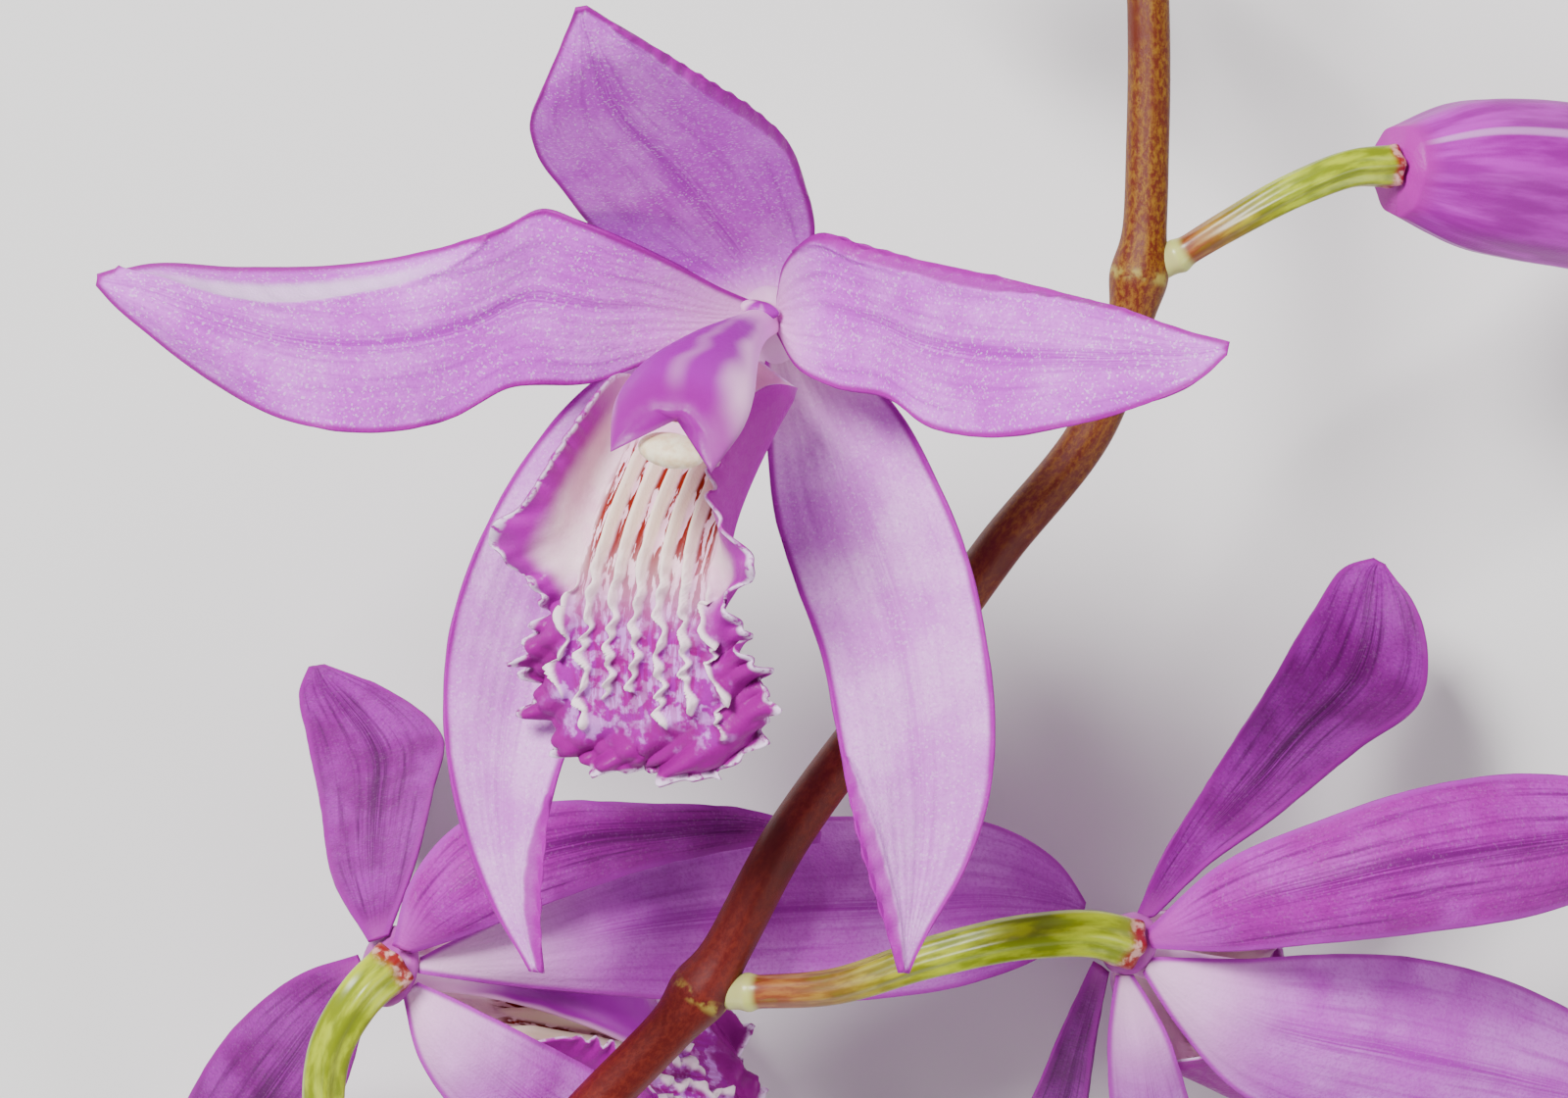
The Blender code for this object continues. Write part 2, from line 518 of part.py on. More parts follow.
def left_bloom(materials):
    """The bloom at the left, seen from behind. Its long petal passes under the stem."""
    tepal(
        "left_dorsal_sepal",
        [(-16.2, -27.6), (-15.4, -24.8), (-13.3, -22.3), (-9.2, -21.3), (-5.1, -21.4),
         (-0.8, -21.6), (2.6, -22.6)],
        [(-15.4, -27.7), (-13.0, -26.5), (-10.4, -25.3), (-7.2, -24.4), (-4.2, -23.8),
         (-0.9, -23.3), (2.5, -23.1)],
        [(18.2, 18.4, 18.2), (19.0, 20.4, 19.4), (18.2, 19.4, 18.6), (17.0, 17.6, 17.2),
         (16.2, 16.6, 16.4), (15.6, 15.6, 15.6)],
        materials["back"],
    )
    tepal(
        "left_upper_petal",
        [(-17.3, -27.4), (-18.9, -24.5), (-19.4, -21.4), (-20.0, -18.4), (-20.3, -16.4), (-19.9, -15.4)],
        [(-16.4, -27.1), (-15.2, -23.8), (-14.4, -20.6), (-14.0, -18.6), (-16.4, -16.4), (-19.2, -15.3)],
        [(17.0, 17.0, 17.0), (13.6, 13.0, 13.8), (8.8, 8.0, 8.8), (3.8, 3.0, 3.6),
         (-0.4, -0.8, -0.6), (-3.3, -3.3, -3.3)],
        materials["back"],
    )
    tepal(
        "left_long_petal",
        [(-15.0, -28.1), (-10.4, -25.9), (-5.6, -23.6), (-0.2, -22.2), (5.6, -22.0),
         (10.4, -22.4), (13.0, -24.0), (14.2, -25.7)],
        [(-15.1, -28.8), (-10.4, -29.4), (-6.0, -29.8), (-0.6, -30.1), (5.0, -29.9), (9.6, -29.1),
         (12.6, -27.8), (14.0, -26.4)],
        [(17.2, 17.2, 17.2), (15.2, 16.2, 14.8), (13.2, 15.0, 13.8), (12.2, 14.2, 13.0),
         (11.2, 12.8, 11.8), (11.0, 11.0, 11.0)],
        materials["pale"],
    )
    tepal(
        "left_lower_sepal",
        [(-15.1, -29.2), (-12.2, -30.6), (-9.4, -32.0), (-6.2, -33.8), (-2.8, -36.4),
         (0.2, -39.8), (1.9, -43.2)],
        [(-15.8, -29.7), (-15.0, -32.6), (-13.2, -35.2), (-10.4, -38.0), (-7.0, -40.6),
         (-3.0, -42.8), (1.5, -43.9)],
        [(17.2, 17.2, 17.2), (16.2, 17.0, 16.2), (12.9, 13.8, 12.9), (9.0, 10.4, 9.6),
         (6.6, 7.6, 7.0), (4.8, 4.8, 4.8)],
        materials["back"],
    )
    tepal(
        "left_outer_sepal",
        [(-17.8, -28.0), (-20.2, -28.8), (-22.6, -30.6), (-24.6, -33.2), (-25.9, -36.2),
         (-26.2, -39.2), (-25.4, -41.6)],
        [(-17.2, -29.6), (-17.7, -31.8), (-18.4, -34.0), (-19.8, -36.2), (-21.6, -38.4),
         (-23.4, -40.4), (-24.9, -41.9)],
        [(16.8, 16.8, 16.8), (12.2, 12.6, 12.0), (7.4, 8.2, 7.2), (3.0, 4.0, 2.8),
         (-0.6, 0.2, -0.6), (-3.3, -3.3, -3.3)],
        materials["back"],
    )
    facing = unit((0.75, -0.20, -0.63))
    axes = bloom_frame(facing, (0.61, 0.56, 0.55))
    base = sighted((-15.9, -28.6, 15.9))
    gynostemium("left_column", base + 0.2 * facing - 0.3 * axes[1], axes, materials["column"])
    lip("left_lip", base + 2.1 * facing - 2.2 * axes[1], axes, math.radians(-2), 0.0, 0.0, 0.0,
        materials["lip"], 19, 6, 3)
    stalk(
        "left_stalk",
        [(-16.7, -43.6, 14.3), (-19.4, -40.6, 15.6), (-20.2, -36.2, 17.2), (-19.7, -32.8, 18.4),
         (-18.2, -30.4, 18.9), (-16.9, -29.2, 18.1)],
        0.8, 1.15, materials["stalk"], 18,
    )


def buds(materials):
    stalk(
        "bud_stalk",
        sighted([(18.15, 2.6, 20.7), (20.3, 3.9, 21.2), (23.7, 5.7, 21.4), (25.9, 6.5, 20.9),
                 (27.7, 6.6, 19.8)]),
        0.65, 0.95, materials["stalk"],
    )
    bud(
        "bud",
        [(28.9, 7.1, 19.6), (32.6, 7.1, 17.2), (37.6, 6.8, 13.0), (42.6, 6.2, 7.7),
         (46.6, 5.4, 2.2), (49.2, 4.7, -3.4)],
        [1.3, 3.1, 3.6, 3.75, 3.8, 3.6, 3.1, 2.3, 1.4, 0.5],
        materials["bud"], 18,
    )
    stalk("small_bud_stalk", [(15.9, 18.65, 20.35), (14.4, 20.3, 20.8), (12.4, 21.4, 20.6)],
          0.5, 0.6, materials["stalk"], 8)
    bud("small_bud", [(11.9, 21.7, 20.4), (9.4, 22.8, 19.2), (6.6, 23.7, 17.2), (4.4, 24.1, 15.2)],
        [0.55, 1.5, 1.9, 1.9, 1.5, 0.9, 0.35], materials["bud"], 11)
    stalk("tip_bud_stalk", [(17.05, 21.6, 19.55), (16.7, 23.0, 19.2), (16.2, 24.0, 18.7)],
          0.42, 0.5, materials["stalk"], 6)
    bud("tip_bud", [(16.05, 24.3, 18.5), (15.4, 25.6, 17.6), (14.7, 26.8, 16.4), (14.2, 27.6, 15.3)],
        [0.4, 0.95, 1.15, 1.1, 0.8, 0.3], materials["bud"], 9)


def main():
    remove_everything()
    materials = {
        "petal": matte_material("petal_pink", PINK, 0.5),
        "pale": matte_material("petal_pale", PALE_PINK, 0.5),
        "back": matte_material("petal_back", DARK_PINK, 0.5),
        "lip": matte_material("lip", LIP_PINK, 0.45),
        "column": matte_material("column", COLUMN_PINK, 0.45),
        "stem": matte_material("stem", STEM_MAROON, 0.45),
        "stalk": matte_material("stalk", STALK_GREEN, 0.35),
        "bud": matte_material("bud", BUD_MAGENTA, 0.45),
    }
    stem(materials["stem"])
    front_bloom(materials)
    right_bloom(materials)
    left_bloom(materials)
    buds(materials)


main()
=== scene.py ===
"""The looks of a cut bletilla orchid stem. Each solid of the frame is replaced by a finer piece on the
same outline. Lengths are in millimetres and become metres in make_piece()."""

import math
from types import SimpleNamespace

import bpy
import numpy as np
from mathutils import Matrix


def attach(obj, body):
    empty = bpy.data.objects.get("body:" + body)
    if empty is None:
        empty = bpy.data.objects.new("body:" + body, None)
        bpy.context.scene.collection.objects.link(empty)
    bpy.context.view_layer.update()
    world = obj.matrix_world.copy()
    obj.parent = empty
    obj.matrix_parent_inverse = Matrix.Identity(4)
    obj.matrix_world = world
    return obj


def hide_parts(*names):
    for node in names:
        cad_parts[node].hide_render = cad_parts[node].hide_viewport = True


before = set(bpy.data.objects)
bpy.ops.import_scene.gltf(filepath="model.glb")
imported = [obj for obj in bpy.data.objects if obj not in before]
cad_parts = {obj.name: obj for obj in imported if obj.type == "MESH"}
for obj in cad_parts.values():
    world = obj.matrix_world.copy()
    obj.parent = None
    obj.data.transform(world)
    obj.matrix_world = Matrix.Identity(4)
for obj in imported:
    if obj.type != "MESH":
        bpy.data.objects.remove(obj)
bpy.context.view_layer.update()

MM = 0.001

# The front bloom faces up, so outlines are drawn as seen from straight above it.
BLOOM_HEIGHT = 32.0
EYE_DISTANCE = 320.0
EYE = np.array([0.95, -10.2])
SURFACE = -3.8

# The frame's origin, which lies on the surface below the middle of the stem.
MIDDLE = np.array([6.937, -27.905, SURFACE])

# The photograph's frame spans this width at the front bloom.
VIEW_WIDTH = 68.8
SENSOR = 36.0
LIGHT_TARGET = (0.0, 0.0, 0.03)

PETAL_THICKNESS = 0.4
RIM_THICKNESS = 0.16

LIP_LENGTH = 20.4
LIP_FLAT = 2.3
LIP_UPRIGHT = 4.9
KEEL_SPACING = 1.1
KEEL_COUNT = 5
KEEL_HEIGHT = 0.95
CRISP_WAVE = 0.55
CRISP_PITCH = 2.6
TEETH_PITCH = 0.85
SIDE_LOBE_FLARE = 1.7

COLUMN_WINGS = 2.3
COLUMN_NOTCH = 1.8

STEM_THICK = 2.6
STEM_THIN = 1.9
NODE_SWELLING = 0.35
NODE_REACH = 1.3
COLLAR_HEIGHT = 0.15
COLLAR_REACH = 0.35

# Rows and columns, or rings and sides, of the pieces.
FRONT_GRID = (180, 70)
BACK_GRID = (110, 44)
FRONT_LIP_GRID = (260, 50, 34)
BACK_LIP_GRID = (130, 30, 16)
COLUMN_GRID = (90, 64)
STEM_GRID = (700, 40)
KNOB_GRID = (40, 40)
STALK_SIDES = 60
BUD_SIDES = 96


def unit(vector):
    return np.asarray(vector, float) / np.linalg.norm(vector)


def sighted(points):
    """Moves drawn points along their lines of sight to their own heights."""
    points = np.array(points, float)
    scale = (BLOOM_HEIGHT + EYE_DISTANCE - points[..., 2:]) / EYE_DISTANCE
    points[..., :2] = EYE + (points[..., :2] - EYE) * scale
    return points


def hermite(points, at, fractions):
    """A smooth curve through points that lie at the given places, read at the fractions."""
    points = np.asarray(points, float)
    slopes = np.gradient(points, at, axis=0)
    place = np.clip(np.searchsorted(at, fractions, side="right") - 1, 0, len(at) - 2)
    shape = (-1,) + (1,) * (points.ndim - 1)
    width = (at[place + 1] - at[place]).reshape(shape)
    t = (fractions - at[place]).reshape(shape) / width
    return (
        (2 * t**3 - 3 * t**2 + 1) * points[place]
        + (t**3 - 2 * t**2 + t) * width * slopes[place]
        + (3 * t**2 - 2 * t**3) * points[place + 1]
        + (t**3 - t**2) * width * slopes[place + 1]
    )


def smooth(points, count):
    """Evenly spaced points of a smooth curve through the given ones."""
    steps = np.linalg.norm(np.diff(np.asarray(points, float), axis=0), axis=1)
    at = np.concatenate([[0.0], np.cumsum(steps)])
    return hermite(points, at / at[-1], np.linspace(0, 1, count))


def along(values, fractions):
    """Values at evenly spaced stations, read smoothly at the fractions."""
    return hermite(values, np.linspace(0, 1, len(values)), fractions)


def ramp(value, low, high):
    """A smooth step from 0 at low to 1 at high."""
    t = np.clip((value - low) / (high - low), 0, 1)
    return t * t * (3 - 2 * t)


def peak(distance, width):
    """A rounded peak of height 1 where the distance is 0."""
    return np.exp(-((distance / width) ** 2))


def lumps(grid, seed, size, waves=7):
    """Gentle seeded unevenness of a surface, from a few crossing waves."""
    draw = np.random.default_rng(seed)
    total = np.zeros(grid.shape[:-1])
    for _ in range(waves):
        direction = draw.normal(size=3)
        direction *= math.tau / (size * draw.uniform(0.7, 1.6) * np.linalg.norm(direction))
        total += np.sin(grid @ direction + draw.uniform(0, math.tau))
    return total / waves


# Pieces


def link(thing):
    bpy.context.scene.collection.objects.link(thing)


def make_piece(name, points, faces, marks, material, node):
    """A piece of the scene in place of a node, with its marks as attributes for the material."""
    corners = points[faces] - points.mean(axis=0)
    if np.linalg.det(corners).sum() < 0:
        faces = faces[:, ::-1]
    mesh = bpy.data.meshes.new(name)
    mesh.vertices.add(len(points))
    mesh.vertices.foreach_set("co", ((points - MIDDLE) * MM).ravel())
    mesh.loops.add(faces.size)
    mesh.loops.foreach_set("vertex_index", faces.ravel())
    mesh.polygons.add(len(faces))
    mesh.polygons.foreach_set("loop_start", np.arange(0, faces.size, 3))
    mesh.update(calc_edges=True)
    mesh.validate()
    mesh.shade_smooth()
    for mark, values in marks.items():
        attribute = mesh.attributes.new(mark, "FLOAT", "POINT")
        attribute.data.foreach_set("value", np.asarray(values, np.float32).ravel())
    mesh.materials.append(material)
    piece = bpy.data.objects.new(name, mesh)
    link(piece)
    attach(piece, "root")
    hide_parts(node)


def grid_normals(grid):
    down = np.gradient(grid, axis=0)
    across = np.gradient(grid, axis=1)
    normals = np.cross(across, down)
    return normals / np.maximum(np.linalg.norm(normals, axis=2, keepdims=True), 1e-9)


def sheet_faces(rows, columns):
    """Triangles of a closed sheet: front grid, back grid and rim."""
    i, j = np.meshgrid(np.arange(rows - 1), np.arange(columns - 1), indexing="ij")
    a = (i * columns + j).ravel()
    b, c, d = a + 1, a + columns + 1, a + columns
    below = rows * columns
    front = np.concatenate([np.stack([a, b, c], 1), np.stack([a, c, d], 1)])
    rim = np.concatenate(
        [
            np.arange(columns),
            np.arange(1, rows) * columns + columns - 1,
            (rows - 1) * columns + np.arange(columns - 2, -1, -1),
            np.arange(rows - 2, 0, -1) * columns,
        ]
    )
    after = np.roll(rim, -1)
    edge = np.concatenate(
        [np.stack([after, rim, below + rim], 1), np.stack([after, below + rim, below + after], 1)]
    )
    return np.concatenate([front, front[:, ::-1] + below, edge])


def sheet(name, grid, thickness, relief, marks, material):
    """A thin closed sheet. The relief is raised from the face that the normals leave."""
    normals = grid_normals(grid)
    half = (np.broadcast_to(thickness, grid.shape[:2]) / 2)[..., None]
    front = grid + normals * (half + relief[..., None])
    back = grid - normals * half
    points = np.concatenate([front.reshape(-1, 3), back.reshape(-1, 3)])
    both = {mark: np.tile(values.ravel(), 2) for mark, values in marks.items()}
    both["inner"] = np.repeat([1.0, 0.0], len(points) // 2)
    make_piece(name, points, sheet_faces(*grid.shape[:2]), both, material, name)


def tepal(name, one_side, other_side, heights, material, size=BACK_GRID, ruffle=0.25, seed=1,
          groove=-0.08, folds=()):
    """A petal or sepal from its two drawn margins. Each station of heights gives the levels of the
    first margin, the midrib and the second margin, or one level for all. A fold is a strip along one
    margin, given by its side, where it starts and ends, its width in mm and how light it is, below 0
    for dark. The strip of a light fold is painted as a pale silvery highlight."""
    lengthwise = np.linspace(0, 1, size[0])
    even = np.linspace(-1, 1, size[1])
    crosswise = 0.65 * even + 0.35 * np.sin(even * math.pi / 2)
    first = smooth(one_side, size[0])[:, None]
    second = smooth(other_side, size[0])[:, None]
    levels = along([np.broadcast_to(station, 3) for station in heights], lengthwise)[:, None]
    u, v = np.meshgrid(lengthwise, crosswise, indexing="ij")
    plane = first * (1 - v[..., None]) / 2 + second * (1 + v[..., None]) / 2
    height = (
        levels[..., 0] * (v * v - v) / 2
        + levels[..., 1] * (1 - v * v)
        + levels[..., 2] * (v * v + v) / 2
    )
    swell = np.sin(math.pi * u)
    height += ruffle * swell * np.abs(v) ** 3 * np.sin(math.tau * (3.2 * u + 0.3 * v))
    draw = np.random.default_rng(seed)
    for side, phase in zip((-1, 1), draw.uniform(0, math.tau, 2)):
        fine = np.sin(math.tau * 9.5 * u + phase) + 0.6 * np.sin(math.tau * 17 * u + 2 * phase)
        height += 0.08 * swell * np.clip(side * v, 0, 1) ** 6 * fine
    grid = sighted(np.dstack([plane, height]))
    half_width = np.linalg.norm(grid[:, -1] - grid[:, 0], axis=1)[:, None] / 2
    rim = half_width * (1 - np.abs(v))
    rim = np.minimum(rim, np.linalg.norm(grid - grid[-1].mean(axis=0), axis=2))
    thickness = RIM_THICKNESS + (PETAL_THICKNESS - RIM_THICKNESS) * ramp(rim, 0, 1.2)
    body = ramp(rim, 0.0, 1.5)
    grid[..., 2] += 0.16 * (body * lumps(grid, seed + 90, 7.0))
    relief = body * (0.09 * lumps(grid, seed + 50, 3.2) + 0.05 * lumps(grid, seed + 70, 1.3))
    relief += body * 0.014 * np.cos(math.tau * 5.5 * np.abs(v) ** 0.9)
    relief -= body * groove * peak(v * half_width, 0.28) * ramp(u, 0.02, 0.2)
    fold_mark = np.zeros_like(u)
    for side, start, end, width, light in folds:
        inside = np.clip((u - start) / (end - start), 0, 1)
        edge_of_fold = width * np.sin(math.pi * inside) ** 0.7
        there = (side * v > 0) & (inside > 0) & (inside < 1)
        crease = np.where(there, peak(rim - edge_of_fold, 0.2), 0.0)
        relief += 0.18 * crease
        strip = np.where(there, 1 - ramp(rim - edge_of_fold, -0.15, 0.1), 0.0)
        crinkle = 0.02 if light > 0 else 0.06
        relief += crinkle * strip * np.sin(math.tau * u * 23 + 5 * rim)
        relief -= 0.22 * strip * ramp(edge_of_fold - rim, 0.0, 0.6)
        # Painted highlight: a light fold's strip is marked to be painted pale, where light catches the
        # rolled-back margin.
        fold_highlight = ramp(rim / np.maximum(edge_of_fold, 0.01), 0.25, 0.60) * np.sin(math.pi * inside)
        fold_mark += light * strip * (fold_highlight if light > 0 else 1)
    marks = {"run": u, "side": v, "rim": rim, "reach": half_width * v, "fold": fold_mark}
    if grid_normals(grid)[..., 2].mean() < 0:
        grid, relief, thickness = grid[:, ::-1], relief[:, ::-1], thickness[:, ::-1]
        marks = {mark: values[:, ::-1] for mark, values in marks.items()}
    sheet(name, grid, thickness, relief, marks, material)


def frames_along(path, up):
    """Directions along a path, across it and up from it."""
    tangents = np.gradient(path, axis=0)
    tangents /= np.linalg.norm(tangents, axis=1, keepdims=True)
    across = np.cross(tangents, np.broadcast_to(up, tangents.shape))
    across /= np.linalg.norm(across, axis=1, keepdims=True)
    return tangents, across, np.cross(across, tangents)


def tube_faces(rings, sides):
    """Triangles of a closed tube, whose last two points are the middles of its ends."""
    i, j = np.meshgrid(np.arange(rings - 1), np.arange(sides), indexing="ij")
    a = (i * sides + j).ravel()
    b = (i * sides + (j + 1) % sides).ravel()
    walls = np.concatenate([np.stack([a, b, b + sides], 1), np.stack([a, b + sides, a + sides], 1)])
    ring = np.arange(sides)
    after = (ring + 1) % sides
    end = (rings - 1) * sides
    first = np.full(sides, rings * sides)
    caps = np.concatenate(
        [np.stack([after, ring, first], 1), np.stack([end + ring, end + after, first + 1], 1)]
    )
    return np.concatenate([walls, caps])


def tube(name, path, section, sides, material, node, up=(0.0, 0.0, 1.0), more_marks=None,
         slide=None):
    """A closed tube. section(fractions, angles) gives sideways and upward offsets of all rings, and
    slide(fractions, angles) their offsets along the tube."""
    fractions = np.linspace(0, 1, len(path))[:, None]
    forward, across, upward = frames_along(path, up)
    angles = (np.arange(sides) * math.tau / sides)[None, :]
    out, rise = section(fractions, angles)
    grid = path[:, None] + out[..., None] * across[:, None] + rise[..., None] * upward[:, None]
    end = path[-1:]
    if slide is not None:
        grid = grid + slide(fractions, angles)[..., None] * forward[:, None]
        end = end + slide(np.ones((1, 1)), np.full((1, 1), math.pi / 2)) * forward[-1:]
    points = np.concatenate([grid.reshape(-1, 3), path[:1], end])
    run = np.broadcast_to(fractions, grid.shape[:2]).ravel()
    turn = np.broadcast_to(angles / math.tau, grid.shape[:2]).ravel()
    length = np.linalg.norm(np.diff(path, axis=0), axis=1).sum()
    marks = {
        "run": np.append(run, [0, 1]),
        "turn": np.append(turn, [0, 0]),
        "along_mm": np.append(run, [0, 1]) * length,
        **(more_marks or {}),
    }
    make_piece(name, points, tube_faces(len(path), sides), marks, material, node)


# Materials


class Nodes:
    """Short ways to add nodes to one material."""

    def __init__(self, name):
        self.material = bpy.data.materials.new(name)
        self.material.use_nodes = True
        self.tree = self.material.node_tree
        self.shader = self.tree.nodes["Principled BSDF"]

    def add(self, kind, **settings):
        node = self.tree.nodes.new(kind)
        for key, value in settings.items():
            setattr(node, key, value)
        return node

    def put(self, value, socket):
        if hasattr(value, "is_output"):
            self.tree.links.new(value, socket)
        elif isinstance(value, tuple) and len(value) == 3 and socket.type == "RGBA":
            socket.default_value = (*value, 1.0)
        else:
            socket.default_value = value

    def marks(self, *names):
        return [self.add("ShaderNodeAttribute", attribute_name=name).outputs["Fac"] for name in names]

    def place(self):
        return self.add("ShaderNodeTexCoord").outputs["Object"]

    def math(self, operation, a, b=0.0):
        node = self.add("ShaderNodeMath", operation=operation)
        self.put(a, node.inputs[0])
        self.put(b, node.inputs[1])
        return node.outputs[0]

    def times(self, *values):
        product = values[0]
        for value in values[1:]:
            product = self.math("MULTIPLY", product, value)
        return product

    def scaled(self, value, low, high, to_low=0.0, to_high=1.0):
        node = self.add("ShaderNodeMapRange", interpolation_type="SMOOTHSTEP")
        self.put(value, node.inputs["Value"])
        limits = {"From Min": low, "From Max": high, "To Min": to_low, "To Max": to_high}
        for name, limit in limits.items():
            node.inputs[name].default_value = limit
        return node.outputs["Result"]

    def mix(self, amount, a, b):
        node = self.add("ShaderNodeMix", data_type="RGBA")
        self.put(amount, node.inputs[0])
        self.put(a, node.inputs[6])
        self.put(b, node.inputs[7])
        return node.outputs[2]

    def noise(self, size_mm, vector=None, detail=3.0, rough=0.55):
        node = self.add("ShaderNodeTexNoise")
        self.put(vector if vector is not None else self.place(), node.inputs["Vector"])
        node.inputs["Scale"].default_value = 1 / (size_mm * MM)
        node.inputs["Detail"].default_value = detail
        node.inputs["Roughness"].default_value = rough
        return node.outputs["Fac"]

    def cells(self, size_mm, output="Distance"):
        node = self.add("ShaderNodeTexVoronoi")
        self.put(self.place(), node.inputs["Vector"])
        node.inputs["Scale"].default_value = 1 / (size_mm * MM)
        return node.outputs[output]

    def vector(self, x, y, z):
        node = self.add("ShaderNodeCombineXYZ")
        for value, socket in zip((x, y, z), node.inputs):
            self.put(value, socket)
        return node.outputs[0]

    def bump(self, height, strength, distance_mm, normal=None):
        node = self.add("ShaderNodeBump")
        self.put(height, node.inputs["Height"])
        node.inputs["Strength"].default_value = strength
        node.inputs["Distance"].default_value = distance_mm * MM
        if normal is not None:
            self.put(normal, node.inputs["Normal"])
        return node.outputs[0]

    def finish(self, colour, roughness, normal=None, scatter=0.0, scatter_mm=0.6, coat=0.0, shine=0.35):
        self.put(colour, self.shader.inputs["Base Color"])
        self.put(roughness, self.shader.inputs["Roughness"])
        if normal is not None:
            self.put(normal, self.shader.inputs["Normal"])
        settings = {
            "Subsurface Weight": scatter,
            "Subsurface Radius": (1.0, 0.45, 0.9),
            "Subsurface Scale": scatter_mm * MM,
            "Coat Weight": coat,
            "Coat Roughness": 0.25,
            "Specular IOR Level": shine,
        }
        for name, value in settings.items():
            self.shader.inputs[name].default_value = value
        return self.material


def tepal_material(name, main, pale, dark, rim, heart, vein_strength, sparkle, heart_reach=0.18):
    """Petal tissue: sparkling cells, whose glints are painted in as whitish dots, lengthwise veins, a
    paler heart, a thin darker rim and a painted silvery highlight on light folds.
    """
    n = Nodes(name)
    run, side, fold, edge, reach = n.marks("run", "side", "fold", "rim", "reach")
    colour = n.mix(n.scaled(n.noise(3.5, detail=2.0), 0.35, 0.68), main, pale)
    streak_place = n.vector(n.times(run, 0.0016), n.times(side, 0.0042), 0.0)
    streaks = n.noise(0.55, streak_place, detail=4.0)
    colour = n.mix(n.times(n.scaled(streaks, 0.48, 0.70), vein_strength), colour, dark)
    line_place = n.vector(n.times(run, 0.0014), n.times(side, 0.016), 0.0)
    lines = n.noise(0.55, line_place, detail=2.0)
    colour = n.mix(n.times(n.scaled(lines, 0.52, 0.66), 0.28 * vein_strength), colour, dark)
    midrib = n.scaled(n.math("ABSOLUTE", reach), 0.85, 0.05)
    feather = n.times(n.scaled(lines, 0.30, 0.62), n.scaled(run, 0.10, 0.35))
    midrib = n.times(midrib, feather, n.scaled(run, 1.0, 0.75))
    colour = n.mix(n.times(midrib, min(1.0, 1.7 * vein_strength)), colour, dark)
    colour = n.mix(n.scaled(n.noise(0.16, detail=3.0), 0.42, 0.72, 0.0, 0.34), colour, dark)
    glint_cells = n.add("ShaderNodeSeparateColor")
    n.put(n.cells(0.085, "Color"), glint_cells.inputs[0])
    glint_cell = glint_cells.outputs[0]
    # Painted glints: the brightest cells are painted whitish, as light glinting off them.
    colour = n.mix(n.scaled(glint_cell, 0.80, 1.0, 0.0, sparkle), colour, (0.93, 0.80, 0.96))
    colour = n.mix(n.scaled(run, heart_reach, 0.0), colour, heart)
    # Painted highlight: the strip of a light fold is painted pale silvery lilac.
    colour = n.mix(n.scaled(fold, 0.0, 1.0, 0.0, 0.85), colour, (0.80, 0.56, 0.86))
    colour = n.mix(n.scaled(fold, 0.0, -1.0, 0.0, 0.85), colour, rim)
    colour = n.mix(n.scaled(edge, 0.36, 0.10), colour, rim)
    bump = n.bump(n.cells(0.13), 0.5, 0.03)
    bump = n.bump(n.noise(0.6, detail=4.0), 0.4, 0.10, bump)
    rough = n.scaled(glint_cell, 0.8, 1.0, 0.55, 0.55 - 0.75 * sparkle)
    return n.finish(colour, rough, bump, scatter=0.08, scatter_mm=0.4, shine=0.15)


def petal_material():
    return tepal_material("petal", (0.60, 0.055, 0.70), (0.73, 0.16, 0.84), (0.38, 0.004, 0.46),
                          (0.32, 0.0, 0.30), (0.76, 0.36, 0.72), 0.5, 0.35)


def pale_sepal_material():
    return tepal_material("petal_pale", (0.64, 0.17, 0.70), (0.76, 0.33, 0.81), (0.48, 0.05, 0.54),
                          (0.34, 0.0, 0.33), (0.66, 0.40, 0.56), 0.25, 0.2, 0.25)


def back_material():
    return tepal_material("petal_back", (0.34, 0.005, 0.32), (0.46, 0.03, 0.48), (0.14, 0.0, 0.14),
                          (0.38, 0.02, 0.40), (0.50, 0.05, 0.48), 0.85, 0.04, 0.14)


# A darker copy of the back tepals' colour for the tepals that lie in shadow: their deeper colour together
# with painted shade.
def deep_back_material():
    return tepal_material("petal_deep", (0.20, 0.001, 0.20), (0.33, 0.015, 0.36), (0.08, 0.0, 0.08),
                          (0.28, 0.004, 0.28), (0.32, 0.02, 0.30), 0.8, 0.03, 0.10)


def long_petal_material():
    return tepal_material("petal_long", (0.56, 0.075, 0.62), (0.68, 0.17, 0.76), (0.36, 0.006, 0.40),
                          (0.44, 0.03, 0.46), (0.80, 0.46, 0.74), 0.5, 0.04, 0.34)


